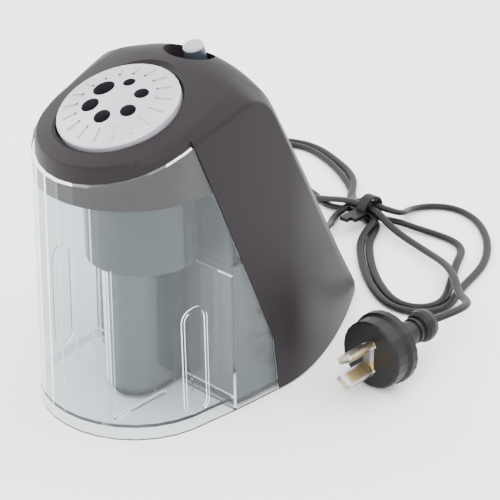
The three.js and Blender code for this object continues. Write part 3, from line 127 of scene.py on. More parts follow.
make_camera()


# ------------------------------------------------------------------ materials
def new_material(name):
    mat = bpy.data.materials.new(name)
    mat.use_nodes = True
    tree = mat.node_tree
    return mat, tree, tree.nodes["Principled BSDF"]


def add_node(tree, kind, **values):
    node = tree.nodes.new(kind)
    for key, value in values.items():
        node.inputs[key].default_value = value
    return node


def noise(tree, scale, detail=4.0, roughness=0.55):
    coords = tree.nodes.new("ShaderNodeTexCoord")
    made = add_node(tree, "ShaderNodeTexNoise", Scale=scale, Detail=detail, Roughness=roughness)
    tree.links.new(coords.outputs["Object"], made.inputs["Vector"])
    return made


def ramp(tree, source, low, high, at_low=0.3, at_high=0.7):
    made = tree.nodes.new("ShaderNodeValToRGB")
    made.color_ramp.elements[0].position = at_low
    made.color_ramp.elements[1].position = at_high
    made.color_ramp.elements[0].color = low
    made.color_ramp.elements[1].color = high
    tree.links.new(source, made.inputs["Fac"])
    return made.outputs["Color"]


def rgba(rgb, scale=1.0):
    return (rgb[0] * scale, rgb[1] * scale, rgb[2] * scale, 1.0)


def varied(tree, shader, rgb, spread, roughness, rough_spread, cloud_scale):
    """Soft clouds of tone and gloss, from one noise."""
    cloud = noise(tree, cloud_scale, 3.0)
    tone = ramp(tree, cloud.outputs["Fac"], rgba(rgb, 1 - spread), rgba(rgb, 1 + spread))
    tree.links.new(tone, shader.inputs["Base Color"])
    gloss = add_node(tree, "ShaderNodeMapRange")
    gloss.inputs["From Min"].default_value = 0.3
    gloss.inputs["From Max"].default_value = 0.7
    gloss.inputs["To Min"].default_value = roughness - rough_spread
    gloss.inputs["To Max"].default_value = roughness + rough_spread
    tree.links.new(cloud.outputs["Fac"], gloss.inputs["Value"])
    tree.links.new(gloss.outputs["Result"], shader.inputs["Roughness"])


def bumped(tree, shader, scale, strength, distance, detail=6.0):
    grain = noise(tree, scale, detail)
    bump = add_node(tree, "ShaderNodeBump", Strength=strength, Distance=distance)
    tree.links.new(grain.outputs["Fac"], bump.inputs["Height"])
    tree.links.new(bump.outputs["Normal"], shader.inputs["Normal"])


def plastic(name, rgb, roughness=0.42, grain=900.0, strength=0.12, spread=0.04, specular=0.5):
    """Moulded plastic or rubber: clouds of tone and gloss over a fine grain."""
    mat, tree, shader = new_material(name)
    varied(tree, shader, rgb, spread, roughness, 0.03, 22.0)
    bumped(tree, shader, grain, strength, 0.0002)
    shader.inputs["Specular IOR Level"].default_value = specular
    return mat


def clear_plastic(name, rgb, roughness=0.012, ior=1.34):
    """Moulded clear plastic: it bends light, with faint flow waves in its surface."""
    mat, tree, shader = new_material(name)
    varied(tree, shader, rgb, 0.03, roughness, 0.5 * roughness, 14.0)
    bumped(tree, shader, 45.0, 0.015, 0.0002, 2.0)
    shader.inputs["Transmission Weight"].default_value = 1.0
    shader.inputs["IOR"].default_value = ior
    return mat


def button_plastic(name, cap, shaft):
    """Lacquered cap on a darker shaft; they meet a little under the button's top, square to its axis."""
    mat, tree, shader = new_material(name)
    coords = tree.nodes.new("ShaderNodeTexCoord")
    along = tree.nodes.new("ShaderNodeVectorMath")
    along.operation = "DOT_PRODUCT"
    along.inputs[1].default_value = BUTTON_AXIS
    tree.links.new(coords.outputs["Object"], along.inputs[0])
    top = at(0, *BUTTON_AT).dot(BUTTON_AXIS)
    cap_depth = 0.0018
    step = add_node(tree, "ShaderNodeMapRange")
    step.inputs["From Min"].default_value = top - cap_depth
    step.inputs["From Max"].default_value = top - cap_depth + 0.0004
    tree.links.new(along.outputs["Value"], step.inputs["Value"])
    cloud = noise(tree, 30.0)
    below = ramp(tree, cloud.outputs["Fac"], rgba(shaft, 0.9), rgba(shaft, 1.1))
    above = ramp(tree, cloud.outputs["Fac"], rgba(cap, 0.97), rgba(cap, 1.03))
    mix = tree.nodes.new("ShaderNodeMixRGB")
    tree.links.new(step.outputs["Result"], mix.inputs["Fac"])
    tree.links.new(below, mix.inputs["Color1"])
    tree.links.new(above, mix.inputs["Color2"])
    tree.links.new(mix.outputs["Color"], shader.inputs["Base Color"])
    bumped(tree, shader, 1800.0, 0.06, 0.0002)
    shader.inputs["Roughness"].default_value = 0.36
    return mat


def dial_plastic(name, face, hole_shade_colour):
    """Silver lacquer on the dial's face; the walls of its holes get a dark colour as painted shade."""
    mat, tree, shader = new_material(name)
    axis = Vector((0, -math.sin(TILT), math.cos(TILT)))
    surface = tree.nodes.new("ShaderNodeNewGeometry")
    facing = tree.nodes.new("ShaderNodeVectorMath")
    facing.operation = "DOT_PRODUCT"
    facing.inputs[1].default_value = axis
    tree.links.new(surface.outputs["True Normal"], facing.inputs[0])
    coords = tree.nodes.new("ShaderNodeTexCoord")
    reach = tree.nodes.new("ShaderNodeVectorMath")
    reach.operation = "DISTANCE"
    reach.inputs[1].default_value = at(0, *DIAL_AT)
    tree.links.new(coords.outputs["Object"], reach.inputs[0])
    upright = add_node(tree, "ShaderNodeMapRange")
    upright.inputs["From Min"].default_value = 0.45
    upright.inputs["From Max"].default_value = 0.65
    tree.links.new(facing.outputs["Value"], upright.inputs["Value"])
    outer = add_node(tree, "ShaderNodeMapRange")
    past_holes = 0.0215
    outer.inputs["From Min"].default_value = past_holes
    outer.inputs["From Max"].default_value = past_holes + 0.001
    tree.links.new(reach.outputs["Value"], outer.inputs["Value"])
    # Painted shade: inside the ring of holes, surfaces that turn away from the dial's axis (the hole walls) take the
    # dark colour.
    unshaded_face = tree.nodes.new("ShaderNodeMath")
    unshaded_face.operation = "MAXIMUM"
    tree.links.new(upright.outputs["Result"], unshaded_face.inputs[0])
    tree.links.new(outer.outputs["Result"], unshaded_face.inputs[1])
    cloud = noise(tree, 26.0)
    shaded_hole_tone = ramp(tree, cloud.outputs["Fac"], rgba(hole_shade_colour, 0.9), rgba(hole_shade_colour, 1.1))
    light = ramp(tree, cloud.outputs["Fac"], rgba(face, 0.97), rgba(face, 1.03))
    mix = tree.nodes.new("ShaderNodeMixRGB")
    tree.links.new(unshaded_face.outputs["Value"], mix.inputs["Fac"])
    tree.links.new(shaded_hole_tone, mix.inputs["Color1"])
    tree.links.new(light, mix.inputs["Color2"])
    tree.links.new(mix.outputs["Color"], shader.inputs["Base Color"])
    bumped(tree, shader, 1800.0, 0.08, 0.0002)
    shader.inputs["Roughness"].default_value = 0.3
    shader.inputs["Metallic"].default_value = 0.35
    return mat


def metal(name, rgb, roughness, scale, stretch, strength=0.1):
    """Metal with fine streaks, drawn out along one axis."""
    mat, tree, shader = new_material(name)
    coords = tree.nodes.new("ShaderNodeTexCoord")
    mapping = add_node(tree, "ShaderNodeMapping", Scale=stretch)
    tree.links.new(coords.outputs["Object"], mapping.inputs["Vector"])
    streak = add_node(tree, "ShaderNodeTexNoise", Scale=scale, Detail=5.0)
    tree.links.new(mapping.outputs["Vector"], streak.inputs["Vector"])
    tone = ramp(tree, streak.outputs["Fac"], rgba(rgb, 0.86), rgba(rgb, 1.08))
    tree.links.new(tone, shader.inputs["Base Color"])
    bump = add_node(tree, "ShaderNodeBump", Strength=strength, Distance=0.0001)
    tree.links.new(streak.outputs["Fac"], bump.inputs["Height"])
    tree.links.new(bump.outputs["Normal"], shader.inputs["Normal"])
    shader.inputs["Metallic"].default_value = 1.0
    shader.inputs["Roughness"].default_value = roughness
    return mat


def winding(name):
    """Enamelled copper wire, in rows."""
    mat, tree, shader = new_material(name)
    coords = tree.nodes.new("ShaderNodeTexCoord")
    wave = add_node(tree, "ShaderNodeTexWave", Scale=260.0, Distortion=0.4)
    wave.bands_direction = "Z"
    tree.links.new(coords.outputs["Object"], wave.inputs["Vector"])
    tone = ramp(tree, wave.outputs["Fac"], (0.20, 0.06, 0.02, 1), (0.62, 0.26, 0.10, 1), 0.1, 0.9)
    tree.links.new(tone, shader.inputs["Base Color"])
    shader.inputs["Metallic"].default_value = 0.7
    shader.inputs["Roughness"].default_value = 0.35
    return mat


LOOKS = {
    "charcoal_shell": plastic("charcoal", (0.0108, 0.0082, 0.0103), 0.48, 1500.0, 0.008, 0.08, 0.16),
    "smoke_clear": clear_plastic("smoke", (0.64, 0.70, 0.72)),
    # The dial's second colour is painted shade for the walls of its holes.
    "silver_dial": dial_plastic("silver_lacquer", (0.45, 0.43, 0.47), (0.045, 0.045, 0.052)),
    "silver_button": button_plastic("button_lacquer", (0.30, 0.31, 0.335), (0.035, 0.042, 0.055)),
    "blue_grey_plastic": plastic("blue_grey", (0.017, 0.029, 0.036), 0.34, 900.0, 0.008, 0.06),
    "black_rubber": plastic("rubber", (0.007, 0.007, 0.008), 0.75, 700.0, 0.25, 0.10, 0.15),
    "black_flex": plastic("flex", (0.005, 0.005, 0.006), 0.42, 500.0, 0.12, 0.10, 0.2),
    "black_switch": plastic("switch_black", (0.02, 0.02, 0.022), 0.5, 900.0, 0.1, 0.08),
    "white_nylon": plastic("nylon", (0.72, 0.69, 0.58), 0.45, 800.0, 0.08, 0.04),
    "plated_steel": metal("plated_steel", (0.58, 0.59, 0.61), 0.34, 240.0, (1, 8, 1)),
    "tool_steel": metal("tool_steel", (0.30, 0.31, 0.33), 0.30, 400.0, (1, 1, 10)),
    "brass": metal("brass", (0.66, 0.47, 0.18), 0.28, 300.0, (6, 1, 1)),
    "copper_winding": winding("copper_winding"),
    "clear_guard": clear_plastic("milky_guard", (0.86, 0.88, 0.90), 0.35),
}



def bulkhead_plastic(name, rgb):
    """The inner frame's plastic, with painted shade in an upright groove and in the slots of a round vent on its
    side.
    """
    mat, tree, shader = new_material(name)
    varied(tree, shader, rgb, 0.06, 0.34, 0.03, 22.0)
    tone = shader.inputs["Base Color"].links[0].from_socket
    coords = tree.nodes.new("ShaderNodeTexCoord")
    split = tree.nodes.new("ShaderNodeSeparateXYZ")
    tree.links.new(coords.outputs["Object"], split.inputs["Vector"])

    def math_node(operation, a, b=0.0):
        made = tree.nodes.new("ShaderNodeMath")
        made.operation = operation
        for k, value in enumerate((a, b)):
            if isinstance(value, (int, float)):
                made.inputs[k].default_value = value
            else:
                tree.links.new(value, made.inputs[k])
        return made.outputs["Value"]

    def within(value, low, high):
        return math_node("MULTIPLY", math_node("GREATER_THAN", value, low), math_node("LESS_THAN", value, high))

    centre = at(0, 62, 42)
    away_y = math_node("SUBTRACT", split.outputs["Y"], centre.y)
    away_z = math_node("SUBTRACT", split.outputs["Z"], centre.z)
    reach = math_node("SQRT", math_node("ADD", math_node("MULTIPLY", away_y, away_y),
                                        math_node("MULTIPLY", away_z, away_z)))
    turn = math_node("ARCTAN2", away_z, away_y)
    blades = math_node("GREATER_THAN", math_node("SINE", math_node("MULTIPLY", turn, 14.0)), -0.55)
    vent = math_node("MULTIPLY", within(reach, 0.022, 0.030), blades)
    front = math_node("LESS_THAN", split.outputs["Y"], at(0, 24.5, 0).y)
    groove = math_node("MULTIPLY", within(split.outputs["X"], 0.0405, 0.0435), front)
    # Painted shade: the vent's slots and the groove are darkened to 0.35 of the plastic's tone.
    painted_shade_mask = math_node("MAXIMUM", vent, math_node("MULTIPLY", groove, within(split.outputs["Z"], 0.012, 0.078)))
    mix = tree.nodes.new("ShaderNodeMixRGB")
    mix.inputs["Color2"].default_value = rgba(rgb, 0.35)
    tree.links.new(painted_shade_mask, mix.inputs["Fac"])
    tree.links.new(tone, mix.inputs["Color1"])
    tree.links.new(mix.outputs["Color"], shader.inputs["Base Color"])
    bumped(tree, shader, 900.0, 0.008, 0.0002)
    return mat


SLOT_OF = {row["node"]: row["material_slot"] for row in frame["record"]["subparts"]}


def smooth(obj, angle=35.0):
    """Smooth shading inside the angle, sharp edges beyond it, normals weighted by face size."""
    mesh = obj.data
    mesh.polygons.foreach_set("use_smooth", [True] * len(mesh.polygons))
    mesh.set_sharp_from_angle(angle=math.radians(angle))
    weighted = obj.modifiers.new("weighted", "WEIGHTED_NORMAL")
    weighted.keep_sharp = True
    weighted.weight = 90


for name, obj in nodes.items():
    obj.data.materials.clear()
    obj.data.materials.append(LOOKS[SLOT_OF[name]])
    smooth(obj)
for name in ("receptacle", "pin_guard"):
    nodes[name].visible_shadow = False
    nodes[name].visible_diffuse = False
    nodes[name].visible_glossy = False
# The bulkhead's material carries painted shade in its groove and vent slots.
nodes["front_bulkhead"].data.materials[0] = bulkhead_plastic("bulkhead", (0.024, 0.036, 0.042))


# ------------------------------------------------------------------ pieces
def new_piece(name, vertices, faces, look, angle):
    """A piece of the base, from its own vertices and faces."""
    mesh = bpy.data.meshes.new(name)
    mesh.from_pydata([tuple(v) for v in vertices], [], faces)
    mesh.update()
    obj = bpy.data.objects.new(name, mesh)
    bpy.context.scene.collection.objects.link(obj)
    mesh.materials.append(LOOKS[look])
    smooth(obj, angle)
    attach(obj, "base")
    return obj


def catmull(points, step=2.5):
    """Even samples of the centripetal curve through the points."""
    p = [np.array(q, float) for q in points]
    p = [2 * p[0] - p[1]] + p + [2 * p[-1] - p[-2]]
    dense = []
    for i in range(1, len(p) - 2):
        a, b, c, d = p[i - 1:i + 3]
        t0 = 0.0
        t1 = t0 + max(np.linalg.norm(b - a) ** 0.5, 1e-6)
        t2 = t1 + max(np.linalg.norm(c - b) ** 0.5, 1e-6)
        t3 = t2 + max(np.linalg.norm(d - c) ** 0.5, 1e-6)
        for t in np.linspace(t1, t2, 24, endpoint=False):
            a1 = (t1 - t) / (t1 - t0) * a + (t - t0) / (t1 - t0) * b
            a2 = (t2 - t) / (t2 - t1) * b + (t - t1) / (t2 - t1) * c
            a3 = (t3 - t) / (t3 - t2) * c + (t - t2) / (t3 - t2) * d
            b1 = (t2 - t) / (t2 - t0) * a1 + (t - t0) / (t2 - t0) * a2
            b2 = (t3 - t) / (t3 - t1) * a2 + (t - t1) / (t3 - t1) * a3
            dense.append((t2 - t) / (t2 - t1) * b1 + (t - t1) / (t2 - t1) * b2)
    dense.append(p[-2])
    dense = np.array(dense)
    run = np.concatenate([[0], np.cumsum(np.linalg.norm(np.diff(dense, axis=0), axis=1))])
    count = max(2, int(round(run[-1] / step)) + 1)
    even = np.linspace(0, run[-1], count)
    return np.stack([np.interp(even, run, dense[:, k]) for k in range(3)], 1)


def sweep(path, profile):
    """Vertices and faces of a profile of (side, up) points carried along the path, side kept level."""
    tangents = np.gradient(path, axis=0)
    tangents /= np.linalg.norm(tangents, axis=1)[:, None]
    vertices = []
    for point, tangent in zip(path, tangents):
        side = np.cross(tangent, (0, 0, 1))
        side /= max(np.linalg.norm(side), 1e-9)
        up = np.cross(side, tangent)
        vertices += [point + side * s + up * u for s, u in profile]
    n = len(profile)
    faces = []
    for i in range(len(path) - 1):
        for k in range(n):
            a, b = i * n + k, i * n + (k + 1) % n
            faces.append((a, b, b + n, a + n))
    faces.append(tuple(range(n - 1, -1, -1)))
    faces.append(tuple(range((len(path) - 1) * n, len(path) * n)))
    return vertices, faces


# ------------------------------------------------------------------ cord
CORD_WIDTH = 5.2
CORD_THICK = 3.9
TIE_Y = 246
FLOOR_Z = 2.1                      # middle of a strand that lies on the table
UPPER_Z = 6.1                      # middle of a strand that lies on another


def flex_profile():
    """Two round cores side by side under one skin."""
    points = []
    for k in range(20):
        angle = 2 * math.pi * k / 20
        waist = 1 - 0.10 * abs(math.sin(angle)) ** 6
        points.append((CORD_WIDTH / 2 * math.cos(angle), CORD_THICK / 2 * math.sin(angle) * waist))
    return points


def beside(points, out):
    """The same route moved sideways in plan, to its right for a positive distance."""
    p = np.array(points, float)
    t = np.gradient(p[:, :2], axis=0)
    t /= np.linalg.norm(t, axis=1)[:, None]
    moved = p.copy()
    moved[:, 0] += t[:, 1] * out
    moved[:, 1] -= t[:, 0] * out
    return [tuple(q) for q in moved]


LEAD = [(-26.4, 182.8, 20), (-31.6, 194.4, 18.6), (-39, 206, 13), (-48, 217, 7), (-55, 227, 3.4), (-60, 236, 2.6),
        (-59, 242, 4)]
LOOP_BACK = [(-24.5, 250, 11.5), (-21, 256, 9), (-26, 267, 5), (-29, 277, 2.6), (-24, 289, 2.1), (-10, 298, 2.1),
             (10, 294, 2.1), (30, 279, 2.1), (45, 260, 2.1), (54, 242, 2.1)]
LOOP_RIGHT = [(61, 203, 5.8), (67, 188, 5.8), (61, 172, 5.8), (45, 167, 5.8), (25, 176, 5.8), (5, 191, 5.8),
              (-10, 206, 5.8), (-21, 219, 5.8)]
LOOP_LEFT = [(-73, 265, 6), (-95, 282, 4.6), (-122, 296, 4.6), (-150, 303, 4.6), (-168, 294, 4.6), (-166, 276, 4.6),
             (-146, 264, 4.6), (-118, 259, 4.6), (-90, 253, 4.6), (-71, 245, 4.6)]
LOOP_SMALL = [(-25, 252, 4.6), (-10, 255, 3.2), (9, 259, 2.1), (24, 258, 2.1), (33, 250, 2.1), (38, 239, 3)]
TO_PLUG = [(-25, 241, 9.5), (-8, 237, 6), (20, 229, 6), (45, 217, 9.6), (62, 203, 12), (76, 188, 13), (86, 181, 15.5),
           (93, 174, 18.6), (96.2, 165, 20.6), (95, 152, 21), (92.3, 138.5, 21)]


def level(points, z):
    return [(x, y, z) for x, y, _ in points]


def through_tie(side, height, leftwards=False):
    """A strand's way through the tie, from its left to its right, or back."""
    run = [(x, TIE_Y + side, height) for x in (-53, -40, -29)]
    return run[::-1] if leftwards else run


def cord_route():
    """The whole cord from its exit to the plug; it passes the tie five times."""
    low, high = FLOOR_Z, UPPER_Z
    right_out = beside(level(LOOP_RIGHT, low), -2.8)
    right_in = beside(level(LOOP_RIGHT, low), 2.9)
    left_out = beside(level(LOOP_LEFT, low), 2.6)
    left_in = beside(level(LOOP_LEFT, low), 8.4)[1:-1]
    route = list(LEAD)
    route += through_tie(2.8, 12.2)
    route += LOOP_BACK + [(59, 222, low)] + right_out + [(-28, 231, high)]
    route += through_tie(-2.8, 8.2, True)
    route += left_out
    route += through_tie(2.8, 4.2)
    route += LOOP_SMALL + [(47, 222, low)] + right_in + [(-25, 234, 3)]
    route += through_tie(-2.8, 4.2, True)
    route += left_in
    route += through_tie(-2.8, 12.2)
    route += TO_PLUG
    return route


def relaxed(path, rounds=14):
    """The path with its tight turns eased; its ends stay."""
    for _ in range(rounds):
        path[1:-1] = 0.25 * path[:-2] + 0.5 * path[1:-1] + 0.25 * path[2:]
    return path


def make_cord():
    path_mm = relaxed(catmull(cord_route()))
    vertices, faces = sweep(path_mm, flex_profile())
    cord = new_piece("mains_cord", [at(*v) for v in vertices], faces, "black_flex", 60)
    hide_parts("cord_lead", "cord_loop_1", "cord_loop_2", "cord_loop_3", "cord_loop_4",
                "cord_tail", "cord_neck")


make_cord()


# ------------------------------------------------------------------ housing shell, finer than the CAD one
def bezier(a, b, c, d, count=160):
    t = np.linspace(0, 1, count)[:, None]
    a, b, c, d = (np.array(p, float) for p in (a, b, c, d))
    return (1 - t) ** 3 * a + 3 * (1 - t) ** 2 * t * b + 3 * (1 - t) * t ** 2 * c + t ** 3 * d


def resampled(points, count):
    run = np.concatenate([[0], np.cumsum(np.linalg.norm(np.diff(points, axis=0), axis=1))])
    keep = np.concatenate([[True], np.diff(run) > 1e-9])
    even = np.linspace(0, run[-1], count + 1)
    return np.stack([np.interp(even, run[keep], points[keep, k]) for k in (0, 1)], 1)


def half_plan():
    """Right half of the plan from the middle of the front to the middle of the tail: x, y, and the outward normal."""
    lean = TAIL_LEAN
    tail = (TAIL_RADIUS * math.cos(lean), TAIL_AT + TAIL_RADIUS * math.sin(lean))
    handle = 40
    front = np.linspace(-math.pi / 2, 0, 240)
    arc = np.stack([FRONT_HALF * np.cos(front), FRONT_DEPTH * np.sin(front)], 1)
    widest = (WIDEST_HALF, WIDEST_AT)
    side = bezier((FRONT_HALF, 0), (FRONT_HALF + 1.6, 10), (WIDEST_HALF, WIDEST_AT - 26), widest)
    back = bezier(widest, (WIDEST_HALF, WIDEST_AT + 28),
                  (tail[0] + handle * math.sin(lean), tail[1] - handle * math.cos(lean)), tail)
    turn = np.linspace(lean, math.pi / 2, 60)
    end = np.stack([TAIL_RADIUS * np.cos(turn), TAIL_AT + TAIL_RADIUS * np.sin(turn)], 1)
    points = resampled(np.concatenate([arc, side, back, end]), PLAN_STEPS)
    tangents = np.gradient(points, axis=0)
    tangents[0] = (1, 0)
    tangents[-1] = (-1, 0)
    tangents /= np.linalg.norm(tangents, axis=1)[:, None]
    return np.column_stack([points, tangents[:, 1], -tangents[:, 0]])


def top_line():
    """Middle line of the top: y, z, and the upward normal."""
    rise = math.tan(TILT)

    def on_plane(y):
        return (y, DIAL_AT[1] + rise * (y - DIAL_AT[0]))

    start = on_plane(RIDGE_START)
    end_y, end_z = RIDGE_END
    down = (math.cos(RIDGE_FALL), -math.sin(RIDGE_FALL))
    ridge = bezier(start, (start[0] + 20.4 * math.cos(TILT), start[1] + 20.4 * math.sin(TILT)),
                   (end_y - 19.9 * down[0], end_z - 19.9 * down[1]), RIDGE_END)
    back = bezier(RIDGE_END, (end_y + 60 * down[0], end_z + 60 * down[1]),
                  (TAIL_TOP[0] - 35, TAIL_TOP[1] + 35.7), TAIL_TOP)
    beyond = [(TAIL_TOP[0] + 8, TAIL_TOP[1] - 5), (TAIL_TOP[0] + 50, TAIL_TOP[1] - 29)]
    points = np.concatenate([[on_plane(-FRONT_DEPTH - 20), start], ridge[1:], back[1:], beyond])
    points = resampled(points, 500)
    tangents = np.gradient(points, axis=0)
    tangents /= np.linalg.norm(tangents, axis=1)[:, None]
    return np.column_stack([points, -tangents[:, 1], tangents[:, 0]])


PLAN = half_plan()
TOP = top_line()


def shoulder(y, column):
    """Smooth curve through one column of the shoulder's measures."""
    at_y = np.clip(y, SHOULDER[0, 0], SHOULDER[-1, 0])
    last = len(SHOULDER) - 1
    k = np.clip(np.searchsorted(SHOULDER[:, 0], at_y, side="right") - 1, 0, last - 1)
    before, start, end, after = (SHOULDER[np.clip(k + j, 0, last)] for j in (-1, 0, 1, 2))
    span = end[..., 0] - start[..., 0]
    t = (at_y - start[..., 0]) / span

    def slope(p, q):
        run = q[..., 0] - p[..., 0]
        return np.where(run > 0, (q[..., column] - p[..., column]) / np.where(run > 0, run, 1) * span, 0)

    return ((2 * t ** 3 - 3 * t ** 2 + 1) * start[..., column] + (3 * t ** 2 - 2 * t ** 3) * end[..., column]
            + (t ** 3 - 2 * t ** 2 + t) * slope(before, end) + (t ** 3 - t ** 2) * slope(start, after))


def crown_depth(x, y):
    nose = np.maximum(0, -y - NOSE_FROM) / (FRONT_DEPTH - NOSE_FROM)
    return shoulder(y, 2) * (x / CROWN_AT) ** 2 + NOSE_DROP * nose ** 2


def bevel_depth(x, y):
    return shoulder(y, 3)


def sheet_height(x, y, depth_of, extra):
    """Height at (x, y) of a sheet that lies under the top line by a depth square to it."""
    depth = depth_of(x, TOP[:, 0]) + extra
    ys = TOP[:, 0] - TOP[:, 2] * depth
    zs = TOP[:, 1] - TOP[:, 3] * depth
    return float(np.interp(y, np.maximum.accumulate(ys), zs))


def wall_point(sample, height, inset):
    inward = inset + WALL_TAPER * height
    return max(sample[0] - sample[2] * inward, 0.0), sample[1] - sample[3] * inward


def wall_on_sheet(sample, inset, depth_of, extra):
    """Where the leaning wall meets a sheet, found in a few steps."""
    height = 100.0
    for _ in range(8):
        x, y = wall_point(sample, height, inset)
        height = sheet_height(x, y, depth_of, extra)
    x, y = wall_point(sample, height, inset)
    return np.array([x, y, height])


def rounded(before, corner, after, radius, steps=4):
    """Points of a soft turn at the corner of a line through three points."""
    first = before - corner
    second = after - corner
    a, b = np.linalg.norm(first), np.linalg.norm(second)
    if min(a, b) < 0.05:
        return [corner]
    p = corner + first / a * min(radius, 0.45 * a)
    q = corner + second / b * min(radius, 0.45 * b)
    return [(1 - t) ** 2 * p + 2 * (1 - t) * t * corner + t ** 2 * q for t in np.linspace(0, 1, steps + 1)]


def body_columns(bottom, shrink, soft):
    """Columns from the foot up the wall, over the bevel and across to the middle of the top."""
    columns = []
    for sample in PLAN:
        low = wall_on_sheet(sample, shrink, bevel_depth, shrink)
        high = wall_on_sheet(sample, float(shoulder(sample[1], 1)) + shrink, crown_depth, shrink)
        foot = np.array([*wall_point(sample, 0, shrink), bottom])
        cap = []
        for step in range(1, CAP_STEPS + 1):
            x = high[0] * (1 - step / CAP_STEPS)
            cap.append(np.array([x, high[1], sheet_height(x, high[1], crown_depth, shrink)]))
        if soft and high[0] > 1:
            column = [foot] + rounded(foot, low, high, soft) + rounded(low, high, cap[0], soft) + cap
        else:
            column = [foot] + [low] * (5 if soft else 1) + [high] * (5 if soft else 1) + cap
        columns.append(column)
    return columns


def closed_mesh(name, columns):
    """A solid from the columns of its right half and their mirror image."""
    bm = bmesh.new()
    for side in (1, -1):
        rows = [[bm.verts.new(at(side * p[0], p[1], p[2])) for p in column] for column in columns]
        under = [bm.verts.new(at(0, column[0][1], column[0][2])) for column in columns]
        for i in range(len(rows) - 1):
            here, ahead = rows[i], rows[i + 1]
            for k in range(len(here) - 1):
                bm.faces.new((here[k], ahead[k], ahead[k + 1], here[k + 1]))
            bm.faces.new((under[i], under[i + 1], ahead[0], here[0]))
    bmesh.ops.remove_doubles(bm, verts=bm.verts, dist=2e-6)
    bmesh.ops.dissolve_degenerate(bm, edges=bm.edges, dist=1e-6)
    bmesh.ops.recalc_face_normals(bm, faces=bm.faces)
    return solid_object(name, bm)


def solid_object(name, bm):
    mesh = bpy.data.meshes.new(name)
    bmesh.ops.triangulate(bm, faces=bm.faces)
    bm.to_mesh(mesh)
    bm.free()
    obj = bpy.data.objects.new(name, mesh)
    bpy.context.scene.collection.objects.link(obj)
    return obj


def polygon_solid(name, loop, direction):
    """A closed prism from a loop of points carried along a direction."""
    bm = bmesh.new()
    near = [bm.verts.new(at(*p)) for p in loop]
    far = [bm.verts.new(at(*(np.array(p) + direction))) for p in loop]
    bm.faces.new(near)
    bm.faces.new(far[::-1])
    for k in range(len(loop)):
        j = (k + 1) % len(loop)
        bm.faces.new((near[k], near[j], far[j], far[k]))
    bmesh.ops.recalc_face_normals(bm, faces=bm.faces)
    return solid_object(name, bm)


def box_solid(name, x0, x1, y0, y1, z0, z1):
    return polygon_solid(name, [(x0, y0, z0), (x1, y0, z0), (x1, y1, z0), (x0, y1, z0)], (0, 0, z1 - z0))


def turned_solid(name, profile, place, sides=96, stretch=(1, 1), shift=(0, 0)):
    """A closed solid of revolution in a placed frame; the profile starts and ends on the axis."""
    bm = bmesh.new()
    rings = []
    for r, z in profile:
        if r < 1e-6:
            rings.append([bm.verts.new(at(*place(shift[0], shift[1], z)))])
            continue
        ring = []
        for k in range(sides):
            turn = 2 * math.pi * k / sides
            ring.append(bm.verts.new(at(*place(r * stretch[0] * math.cos(turn) + shift[0],
                                               r * stretch[1] * math.sin(turn) + shift[1], z))))
        rings.append(ring)
    for a, b in zip(rings, rings[1:]):
        for k in range(sides):
            j = (k + 1) % sides
            corners = [a[k % len(a)], a[j % len(a)], b[j % len(b)], b[k % len(b)]]
            unique = list(dict.fromkeys(corners))
            if len(unique) > 2:
                bm.faces.new(unique)
    bmesh.ops.recalc_face_normals(bm, faces=bm.faces)
    return solid_object(name, bm)


def frame_at(y, z, lean):
    c, s = math.cos(lean), math.sin(lean)
    return lambda u, v, w: (u, y + v * c - w * s, z + v * s + w * c)


ON_DIAL = frame_at(*DIAL_AT, TILT)
ON_BUTTON = frame_at(*BUTTON_AT, BUTTON_LEAN)


def combine(first, operation, *others):
    """Joins, cuts or keeps the common part, one after another; the others are used up."""
    for other in others:
        modifier = first.modifiers.new("step", "BOOLEAN")
        modifier.operation = operation
        modifier.object = other
        modifier.solver = "MANIFOLD"
        made = bpy.data.meshes.new_from_object(first.evaluated_get(bpy.context.evaluated_depsgraph_get()))
        first.modifiers.clear()
        first.data = made
        bpy.data.objects.remove(other)
    return first


def body_solid(name, bottom, shrink, soft=0.0):
    return closed_mesh(name, body_columns(bottom, shrink, soft))


def wall_block(name, inset, low, high):
    columns = [[np.array([*wall_point(s, z, inset), z]) for z in (low, high)]
               + [np.array([0.0, wall_point(s, high, inset)[1], high])] for s in PLAN]
    return closed_mesh(name, columns)


def wall_ring(outer, inner, low, high):
    inside = wall_block("ring_inside", inner, low - 1, high + 1)
    return combine(wall_block("ring", outer, low, high), "DIFFERENCE", inside)


def seam_height(y):
    return DIAL_AT[1] + math.tan(TILT) * (y - DIAL_AT[0]) - SEAM_DROP / math.cos(TILT)


def receptacle_space():
    front, low = -71, -20
    side = [(front, low), (SEAM_SIDE[0][0], low), *SEAM_SIDE, (SEAM_TIP, seam_height(SEAM_TIP)),
            (front, seam_height(front))]
    return polygon_solid("space", [(-FAR / 2, y, z) for y, z in side], (FAR, 0, 0))


def dish_solid(name, grow):
    floor = DISH_FLOOR - grow
    profile = [(0, floor), (0.68, floor), (0.8, floor + 0.8), (0.87, floor + 2.8), (0.94, floor + 7), (1, floor + 12),
               (1.02, 14), (0, 14)]
    half = (DISH_HALF[0] + grow, DISH_HALF[1] + grow)
    return turned_solid(name, profile, ON_BUTTON, 72, half, (0, -DISH_FORWARD))


def cylinder(name, radius, low, high, place):
    return turned_solid(name, [(0, low), (radius, low), (radius, high), (0, high)], place)


def cord_hole():
    along = Vector((math.sin(EXIT_TURN), math.cos(EXIT_TURN), 0))
    across = Vector((math.cos(EXIT_TURN), -math.sin(EXIT_TURN), 0))
    start = EXIT_AT

    def place(u, v, w):
        return (start[0] + across.x * u + along.x * w, start[1] + across.y * u + along.y * w, start[2] + v)

    return turned_solid("cord_hole", [(0, -12), (5.6, -12), (5.6, 30), (0, 30)], place, 48)


